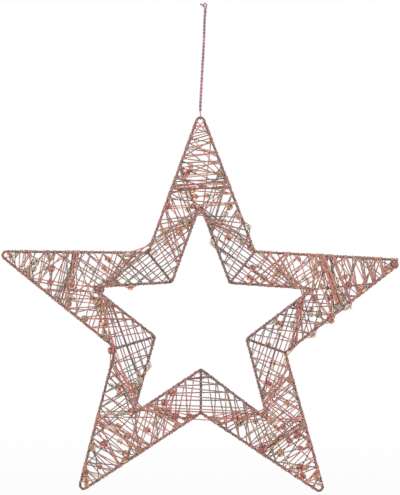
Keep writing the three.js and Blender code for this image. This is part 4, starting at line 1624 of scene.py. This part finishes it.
class Finishes:
    """The materials, each made once, and the shader groups that they share."""

    def __init__(self) -> None:
        """Builds the shared groups."""
        self.spun = self._spun_group()
        self.specks = self._speck_group()

    def _spun_group(self) -> NodeTree:
        """Masks that follow a thread: two slow drifts, fine flecks, foil glints and the fibres' height.

        Returns:
            The group.
        """
        outputs = dict.fromkeys(("Drift", "Second Drift", "Fleck", "Glint", "Height"), NUMBER)
        tree = new_group("spun_thread", "ShaderNodeTree", {}, outputs)[0]
        run = tree.attribute("run")
        own = tree.math("MULTIPLY", tree.attribute("tone"), TONE_SPREAD)
        plies = tree.math("MULTIPLY", tree.attribute("ply"), PLY_SPREAD)

        def along(length: float, shift: float, detail: float) -> Socket:
            """Noise along the thread with a given length of its waves."""
            seed = tree.math("ADD", tree.math("ADD", own, shift), plies)
            return tree.noise(tree.combined(X=tree.math("DIVIDE", run, length), Y=seed), 1.0, detail)

        place = tree.own_place()
        foil = tree.out("ShaderNodeTexVoronoi", {"Vector": place, "Scale": YARN_LOOK.foil_scale}, "Color")
        results = {
            "Drift": along(YARN_LOOK.drift_length, 0.0, 2.0),
            "Second Drift": along(YARN_LOOK.drift_length, SECOND_DRIFT_SHIFT, 2.0),
            "Fleck": along(YARN_LOOK.fleck_length, FLECK_SHIFT, 1.0),
            "Glint": tree.span(tree.out("ShaderNodeSeparateColor", {0: foil}), YARN_LOOK.glint_span),
            "Height": tree.noise(place, YARN_LOOK.grain_scale, 3.0),
        }
        tree.node("NodeGroupOutput", results)
        return tree.tree

    def _speck_group(self) -> NodeTree:
        """Masks over a hard surface: soft clouds and fine grain.

        Returns:
            The group.
        """
        inputs, outputs = (dict.fromkeys(names, NUMBER) for names in (SPECK_SCALES, ("Cloud", "Grain")))
        tree, given = new_group("clouds_and_grain", "ShaderNodeTree", inputs, outputs)
        place = tree.own_place()
        cloud, grain = (tree.noise(place, given[name], detail) for name, detail in SPECK_SCALES.items())
        tree.node("NodeGroupOutput", {"Cloud": cloud, "Grain": grain})
        return tree.tree

    def _material(self, name: str) -> tuple[Material, Tree, object]:
        """A new material.

        Args:
            name: its name.

        Returns:
            The material, its tree's builder and its shader's inputs.
        """
        material = bpy.data.materials.new(name)
        material.use_nodes = True
        return material, Tree(material.node_tree), material.node_tree.nodes["Principled BSDF"].inputs

    def _bump(self, tree: Tree, shader: object, height: Socket, bump: Pair) -> None:
        """Gives a shader a bump from a mask, with its height and strength."""
        inputs = {"Height": height, "Distance": bump[0], "Strength": bump[1]}
        tree.feed(shader["Normal"], tree.out("ShaderNodeBump", inputs))

    def _hard(self, name: str, look: HardLook, bumped: str) -> tuple[Material, Tree, object, dict]:
        """A new hard material without its colour.

        Args:
            name: the material's name.
            look: its values.
            bumped: the mask that stands out, Cloud or Grain.

        Returns:
            The material, its tree's builder, its shader's inputs and its masks.
        """
        material, tree, shader = self._material(name)
        scales = dict(zip(SPECK_SCALES, look.scales))
        masks = tree.node("ShaderNodeGroup", scales, node_tree=self.specks).outputs
        tree.feed(shader["Roughness"], tree.span(masks["Grain"], look.grain_span, look.roughness))
        for label, level in look.levels.items():
            shader[label].default_value = level
        self._bump(tree, shader, masks[bumped], look.bump)
        return material, tree, shader, masks

    @cache
    def yarn(self, colour: ThreadColour) -> Material:
        """The metallic yarn of one colour.

        Args:
            colour: which yarn.

        Returns:
            The material.
        """
        look, finish = YARN_LOOK, YARN_FINISHES[colour]
        material, tree, shader = self._material(colour.value)
        masks = tree.node("ShaderNodeGroup", node_tree=self.spun).outputs
        main, second, third = (linear(hue) for hue in (finish.main, finish.second, finish.third))
        low = look.second_level - finish.second_level * look.second_reach
        mixed = tree.mix(tree.span(masks["Drift"], (low, low + look.second_width)), main, second)
        base = tree.mix(tree.span(masks["Second Drift"], look.third_span), mixed, third)
        dark = tree.vector("SCALE", base, look.fleck_dark)
        shaded = tree.mix(tree.span(masks["Fleck"], look.fleck_span), dark, base)
        bright = tree.vector("SCALE", base, look.glint_bright)
        metal = tree.math("MULTIPLY", masks["Glint"], look.glint_metal)
        gloss = tree.math("MULTIPLY", masks["Glint"], look.glint_gloss)
        tree.feed(shader["Base Color"], tree.mix(masks["Glint"], shaded, bright))
        tree.feed(shader["Metallic"], tree.math("ADD", finish.metallic, metal))
        tree.feed(shader["Roughness"], tree.math("SUBTRACT", look.roughness, gloss))
        self._bump(tree, shader, masks["Height"], look.bump)
        shader["Sheen Weight"].default_value = look.sheen
        return material

    @cache
    def wire(self) -> Material:
        """The wire's rose-bronze lacquer, rubbed and a little uneven.

        Returns:
            The material.
        """
        material, tree, shader, masks = self._hard("wire", WIRE_LOOK, "Grain")
        main, dark, rubbed = (linear(colour) for colour in WIRE_LACQUER)
        base = tree.mix(tree.span(masks["Cloud"], WIRE_LOOK.cloud_span), main, dark)
        worn = tree.span(masks["Grain"], WIRE_WORN_SPAN)
        tree.feed(shader["Base Color"], tree.mix(worn, base, rubbed))
        return material

    @cache
    def glass(self, colour: BeadColour) -> Material:
        """A bead's glossy glass, streaked, with its bore in shade.

        Args:
            colour: which glass.

        Returns:
            The material.
        """
        finish = GLASS_FINISHES[colour]
        material, tree, shader, masks = self._hard(colour.value, GLASS_LOOK, "Cloud")
        streaks = tree.span(masks["Cloud"], GLASS_LOOK.cloud_span)
        streaked = tree.mix(streaks, linear(finish.glass), linear(finish.streak))
        # Painted shade: the bore's inner wall is darkened to the bore colour
        inside = tree.span(tree.attribute("bore"), GLASS_BORE_SHADE_SPAN)
        tree.feed(shader["Base Color"], tree.mix(inside, streaked, linear(finish.bore)))
        return material


@dataclass
class WireWork:
    """The two star wires and the struts, with the yarn wound round them. Lengths in millimetres."""

    plan: StarPlan
    shop: Shop
    finishes: Finishes
    wire_sides: int = 16
    wire_tone: float = 0.5
    coil_tone: float = 0.3
    coil_sides: int = 5
    coil_thread: float = 0.28
    coil_seat: float = 0.6
    coil_pitch: float = 6.0
    coil_step: float = 0.23
    coil_unevenness: float = 5.0
    apex_room: float = 2.2
    strut_gap: float = 1.0

    def build(self) -> None:
        """Makes each wire, each strut and their windings."""
        for name, ring in self.plan.rings().items():
            closed = np.vstack((ring, ring[:1]))
            self._wire(f"{name}_wire", closed, f"{name}_star_wire")
            line, yarn = (self._off_apex(ring), P) if name == "outer" else (closed, G)
            self._coil(f"{name}_wire_winding", line, yarn, len(name))
        for index, (name, strut) in enumerate(zip(NOTCH_NAMES, self.plan.struts)):
            ends = [strut.at(self.strut_gap), strut.at(strut.length - self.strut_gap)]
            line = self.plan.in_space([(*end, 0.0) for end in ends])
            self._wire(f"{name}_strut_wire", line, f"{name}_strut")
            self._coil(f"{name}_strut_winding", line, C if name == "upper_right" else G, index)

    def _off_apex(self, ring: Vec) -> Vec:
        """The outer wire's line without the part at the apex, where the hitch goes round it.

        Args:
            ring: the whole line.

        Returns:
            The rest of it.
        """
        middle = self.plan.bend_steps // 2
        line = np.vstack((ring[middle + 1 :], ring[:middle]))
        return line[np.linalg.norm(line - ring[middle], axis=1) > self.apex_room]

    def _wire(self, name: str, line: Vec, node: str) -> None:
        """A length of round wire in place of a node.

        Args:
            name: the piece's name.
            line: its line.
            node: the node that it replaces.
        """
        radius = self.plan.wire_radius * MM
        values = {"Radius": radius, "Sides": self.wire_sides, "Material": self.finishes.wire()}
        source = self.shop.paths(name, [line], [self.wire_tone])
        piece = settle(self.shop.shape(name, source, self.shop.wire_shape, values), "star")
        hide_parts(node)

    def _coil(self, name: str, line: Vec, yarn: ThreadColour, seed: int) -> None:
        """Yarn wound round a wire's line, uneven in its own way for each seed.

        Args:
            name: the piece's name.
            line: the wire's line.
            yarn: its colour.
            seed: its own number.
        """
        values = {
            "Coil Radius": (self.plan.wire_radius + self.coil_thread * self.coil_seat) * MM,
            "Coil Pitch": self.coil_pitch * MM,
            "Unevenness": self.coil_unevenness,
            "Seed": float(seed),
            "Step": self.coil_step * MM,
            "Thread Radius": self.coil_thread * MM,
            "Sides": self.coil_sides,
            "Material": self.finishes.yarn(yarn),
        }
        source = self.shop.paths(name, [line], [self.coil_tone])
        settle(self.shop.shape(name, source, self.shop.coil_shape, values), "star")


@dataclass
class Hanger:
    """The eye, the twisted hanging thread and the hitch round the apex wire. Lengths in millimetres.

    A knot's size is its width and its height, and a place is across and up in the star's plane.
    """

    plan: StarPlan
    shop: Shop
    finishes: Finishes
    cord_diameter: float = 2.0
    cord_length: float = 97.0
    cord_top: float = -8.5
    cord_yarn: Yarn = Yarn(0.88, 0.6, pitch=7.0, step=0.6)
    eye_yarn: Yarn = Yarn(0.62, 0.3)
    hitch_yarn: Yarn = Yarn(0.44, 0.22)
    eye_radius: float = 1.5
    eye_knot: tuple = (0.0, -7.3)
    eye_knot_size: tuple = (3.0, 2.6)
    tail_knot: tuple = (-1.5, -2.3)
    tail_knot_size: tuple = (2.5, 2.2)
    tail_end: tuple = (-5.3, -0.5)
    tail_rise: float = 0.35
    tail_points: int = 8
    hitch_knot: tuple = (-5.0, -107.0)
    hitch_knot_size: tuple = (3.2, 3.6)
    hitch_radius: float = 2.0
    loop_steps: int = 24
    knot_points: int = 72
    eye_tones: tuple = (0.1, 0.4, 0.7, 0.9)
    hitch_tones: tuple = (0.25, 0.6)
    cord_tones: tuple = (0.2,)
    route_steps: int = 8
    route: tuple = (
        (0, 0), (-0.5, -5.8), (-0.9, -18), (-1.5, -33.2), (-2.4, -48.4), (-3.1, -60.6), (-3.8, -73.8),
        (-4.5, -86), (-5.0, -96.7),
    )

    def build(self) -> None:
        """Makes the three pieces of the hanger, the cord last."""
        eye = self._piece("hanging_eye_loop", "hanging_eye", "eye", self._eye_paths(), self.eye_tones,
                          ThreadColour.MAUVE, self.eye_yarn)
        hitch = self._piece("apex_hitch_thread", "apex_hitch", "hitch", self._hitch_paths(), self.hitch_tones,
                            G, self.hitch_yarn)
        line = self._route()
        cord = self._piece("hanging_cord", "hanging_thread", "thread", [line], self.cord_tones,
                           ThreadColour.MAUVE, self.cord_yarn)

    def _piece(self, name: str, node: str, body: str, paths: list[Vec], tones: tuple, colour: ThreadColour,
               yarn: Yarn) -> Piece:
        """One piece of the hanger.

        Args:
            name: its name.
            node: the node that it replaces.
            body: the body that carries it.
            paths: its threads' paths.
            tones: their tones.
            colour: its colour.
            yarn: its make.

        Returns:
            The piece.
        """
        piece = self.shop.yarn(name, paths, tones, self.finishes.yarn(colour), yarn)
        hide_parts(node)
        return settle(piece, body)

    def _route(self) -> Vec:
        """The cord's line as close points of a smooth curve through its route.

        Returns:
            The points.
        """
        knots = np.array([(x, 0.0, z + self.cord_top) for x, z in self.route], float)
        padded = np.vstack((2 * knots[0] - knots[1], knots, 2 * knots[-1] - knots[-2]))
        points = []
        for index in range(1, len(padded) - 2):
            before, here, there, after = padded[index - 1 : index + 3]
            for step in range(self.route_steps):
                t = step / self.route_steps
                points.append(
                    here
                    + 0.5 * t * (there - before)
                    + t * t * (before - 2.5 * here + 2 * there - 0.5 * after)
                    + t * t * t * (1.5 * (here - there) + 0.5 * (after - before))
                )
        points.append(knots[-1])
        return np.array(points)

    def _loop(self, point_height: float, radius: float) -> list[Pair]:
        """A loop hung from a point above a round middle: down one side, round and up the other.

        Args:
            point_height: the point's height over the middle.
            radius: of the round part.

        Returns:
            Its points, across and up.
        """
        start = math.acos(radius / point_height)
        turn = (WHOLE_TURN - 2 * start) / self.loop_steps
        angles = [start + step * turn for step in range(self.loop_steps + 1)]
        arc = [(radius * math.sin(angle), radius * math.cos(angle)) for angle in angles]
        return [(0.0, point_height), *arc, (0.0, point_height)]

    def _knot(self, place: tuple, size: tuple) -> Vec:
        """The line of an overhand knot pulled tight, its axis upright.

        Args:
            place: its middle.
            size: its width and height.

        Returns:
            Its points.
        """
        angles = np.linspace(0, WHOLE_TURN, self.knot_points)
        across = np.sin(angles) + 2 * np.sin(2 * angles)
        depth = np.cos(angles) - 2 * np.cos(2 * angles)
        rise = -np.sin(3 * angles)
        wide = (size[0] - THREAD) / 2 / KNOT_REACH
        tall = (size[1] - THREAD) / 2
        centre = np.array([place[0], 0.0, place[1]])
        return centre + np.column_stack((across * wide, depth * wide, rise * tall))

    def _eye_paths(self) -> list[Vec]:
        """The eye: its loop, the knot that closes it, the knot on its left leg and the tail that it ties.

        Returns:
            The paths.
        """
        middle = THREAD / 2 - self.eye_radius
        loop = self._loop(middle - self.eye_knot[1], self.eye_radius)
        start, end = (self.tail_knot[0], 0.0, self.tail_knot[1]), (self.tail_end[0], 0.0, self.tail_end[1])
        tail = np.linspace(start, end, self.tail_points)
        tail[:, 2] += self.tail_rise * np.sin(np.linspace(0, math.pi, self.tail_points))
        return [
            np.array([(across, 0.0, middle - down) for across, down in loop]),
            self._knot(self.eye_knot, self.eye_knot_size),
            self._knot(self.tail_knot, self.tail_knot_size),
            tail,
        ]

    def _hitch_paths(self) -> list[Vec]:
        """The hitch: its loop round the apex wire and the knot that closes it.

        Returns:
            The paths.
        """
        x, z = self.hitch_knot
        wire_z = self.plan.apex[1]
        loop = self._loop(z - wire_z, self.hitch_radius)
        line = np.array([(x, across, wire_z + up) for across, up in loop])
        return [line, self._knot(self.hitch_knot, self.hitch_knot_size)]


@dataclass
class Studio:
    """The camera at the photograph's viewing point, soft lights and a pale floor. Lengths in metres.

    Each light has a name, a place, a size and a power in watts.
    """

    lens: float = 100.0
    sensor: float = 36.0
    distance: float = 1.391
    aim: tuple = (-0.0053, -0.2466)
    lights: tuple = (
        ("key", (-0.9, -1.5, 0.5), 1.1, 16.0),
        ("fill", (1.1, -1.2, -0.3), 1.2, 8.0),
        ("rim", (0.3, 1.4, 0.6), 1.2, 8.0),
    )
    floor_height: float = -0.56
    floor_size: float = 8.0
    floor_grey: float = 0.9
    floor_white_share: float = 0.75
    floor_white_reach: float = 1.3
    world_level: float = 0.62

    def build(self) -> None:
        """Sets up the camera, the lights, the floor and the world."""
        self._camera()
        for light in self.lights:
            self._light(*light)
        self._floor()
        self._world()
        bpy.context.scene.view_settings.view_transform = "Standard"

    def _place(self, name: str, data: bpy.types.ID) -> bpy.types.Object:
        """An object with its data, in the scene.

        Args:
            name: its name.
            data: its data.

        Returns:
            The object.
        """
        placed = bpy.data.objects.new(name, data)
        bpy.context.scene.collection.objects.link(placed)
        return placed

    def _camera(self) -> None:
        """The camera, level with the star's middle."""
        data = bpy.data.cameras.new("camera")
        data.lens, data.sensor_width = self.lens, self.sensor
        camera = self._place("camera", data)
        camera.location = (self.aim[0], -self.distance, self.aim[1])
        camera.rotation_euler = (math.pi / 2, 0, 0)
        bpy.context.scene.camera = camera

    def _light(self, name: str, place: tuple, size: float, power: float) -> None:
        """A square soft light turned to the star.

        Args:
            name: its name.
            place: its place.
            size: its width.
            power: in watts.
        """
        data = bpy.data.lights.new(name, "AREA")
        data.shape, data.size, data.energy = "SQUARE", size, power
        lamp = self._place(name, data)
        lamp.location = place
        away = np.array(place) - np.array([self.aim[0], 0.0, self.aim[1]])
        yaw = math.atan2(away[0], -away[1])
        pitch = math.atan2(math.hypot(away[0], away[1]), away[2])
        lamp.rotation_euler = (pitch, 0, yaw)

    def _unseen_share(self, tree: Tree, share: object) -> Socket:
        """A share for rays that show a background: straight from the camera, in gloss or through glass.

        Args:
            tree: the tree that uses it.
            share: for those rays.

        Returns:
            The share, none for the others.
        """
        rays = tree.node("ShaderNodeLightPath").outputs
        seen = tree.math("MAXIMUM", rays["Is Camera Ray"], rays["Is Glossy Ray"])
        seen = tree.math("MAXIMUM", seen, rays["Is Transmission Ray"])
        return tree.math("MULTIPLY", seen, share)

    def _floor(self) -> None:
        """The pale floor, which keeps the star's shadow."""
        half = self.floor_size / 2
        corners = [(-half, -half), (half, -half), (half, half), (-half, half)]
        mesh = bpy.data.meshes.new("floor")
        mesh.from_pydata([(x, y, self.floor_height) for x, y in corners], [], [(0, 1, 2, 3)])
        floor = self._place("floor", mesh)
        material = bpy.data.materials.new("pale_floor")
        material.use_nodes = True
        tree = Tree(material.node_tree)
        shader = material.node_tree.nodes["Principled BSDF"]
        shader.inputs["Base Color"].default_value = (*[self.floor_grey] * 3, 1)
        shader.inputs["Roughness"].default_value = self.floor_grey
        white = tree.out("ShaderNodeEmission", {"Color": WHITE, "Strength": 1.0})
        away = tree.out("ShaderNodeVectorMath", {0: tree.own_place()}, "Value", operation="LENGTH")
        levels = (-self.floor_height, self.floor_white_reach)
        share = self._unseen_share(tree, tree.span(away, levels, (self.floor_white_share, 1.0)))
        mixed = tree.out("ShaderNodeMixShader", {0: share, 1: shader.outputs[0], 2: white})
        tree.feed(material.node_tree.nodes["Material Output"].inputs["Surface"], mixed)
        mesh.materials.append(material)

    def _world(self) -> None:
        """A world that lights softly and shows white."""
        world = bpy.data.worlds.new("world")
        bpy.context.scene.world = world
        world.use_nodes = True
        tree = Tree(world.node_tree)
        share = self._unseen_share(tree, 1.0)
        level = tree.math("ADD", tree.math("MULTIPLY", share, 1 - self.world_level), self.world_level)
        background = world.node_tree.nodes["Background"]
        background.inputs["Color"].default_value = WHITE
        tree.feed(background.inputs["Strength"], level)


def build_nets(lacing: Lacing, shop: Shop, finishes: Finishes) -> None:
    """Makes each lacing's yarn a piece, in place of its node where it has one.

    Args:
        lacing: the laid thread.
        shop: makes the pieces.
        finishes: gives their materials.
    """
    groups: dict[str, list[Strand]] = {}
    for strand in lacing.strands:
        groups.setdefault(strand.piece, []).append(strand)
    for name, strands in groups.items():
        yarn = strands[0].yarn
        own_node = name in frame["nodes"]
        label = name.replace("_lacing", "_yarn") if own_node else name
        piece = shop.yarn(label, [s.points for s in strands], [s.tone for s in strands], finishes.yarn(yarn))
        if own_node:
            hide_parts(name)
        settle(piece, "star")


def write_sizes() -> None:
    """Brings the scene's placements up to date."""
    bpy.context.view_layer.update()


def main() -> None:
    """Builds the stage, the hanger, the wires, the lacing and the beads."""
    logging.basicConfig(level=logging.INFO, format="%(message)s")
    Studio().build()
    plan = StarPlan()
    shop = Shop()
    finishes = Finishes()
    Hanger(plan, shop, finishes).build()
    WireWork(plan, shop, finishes).build()
    lacing = Lacing(plan)
    beads = BeadStore(plan, lacing, shop, finishes)
    lacing.lay_regular()
    lacing.lay_tip_belts()
    lacing.lay_crossings(beads.slides())
    lacing.lay_families(beads.slides())
    beads.thread_fast_beads()
    beads.bend_threads()
    build_nets(lacing, shop, finishes)
    beads.build()
    write_sizes()


if __name__ == "__main__":
    main()
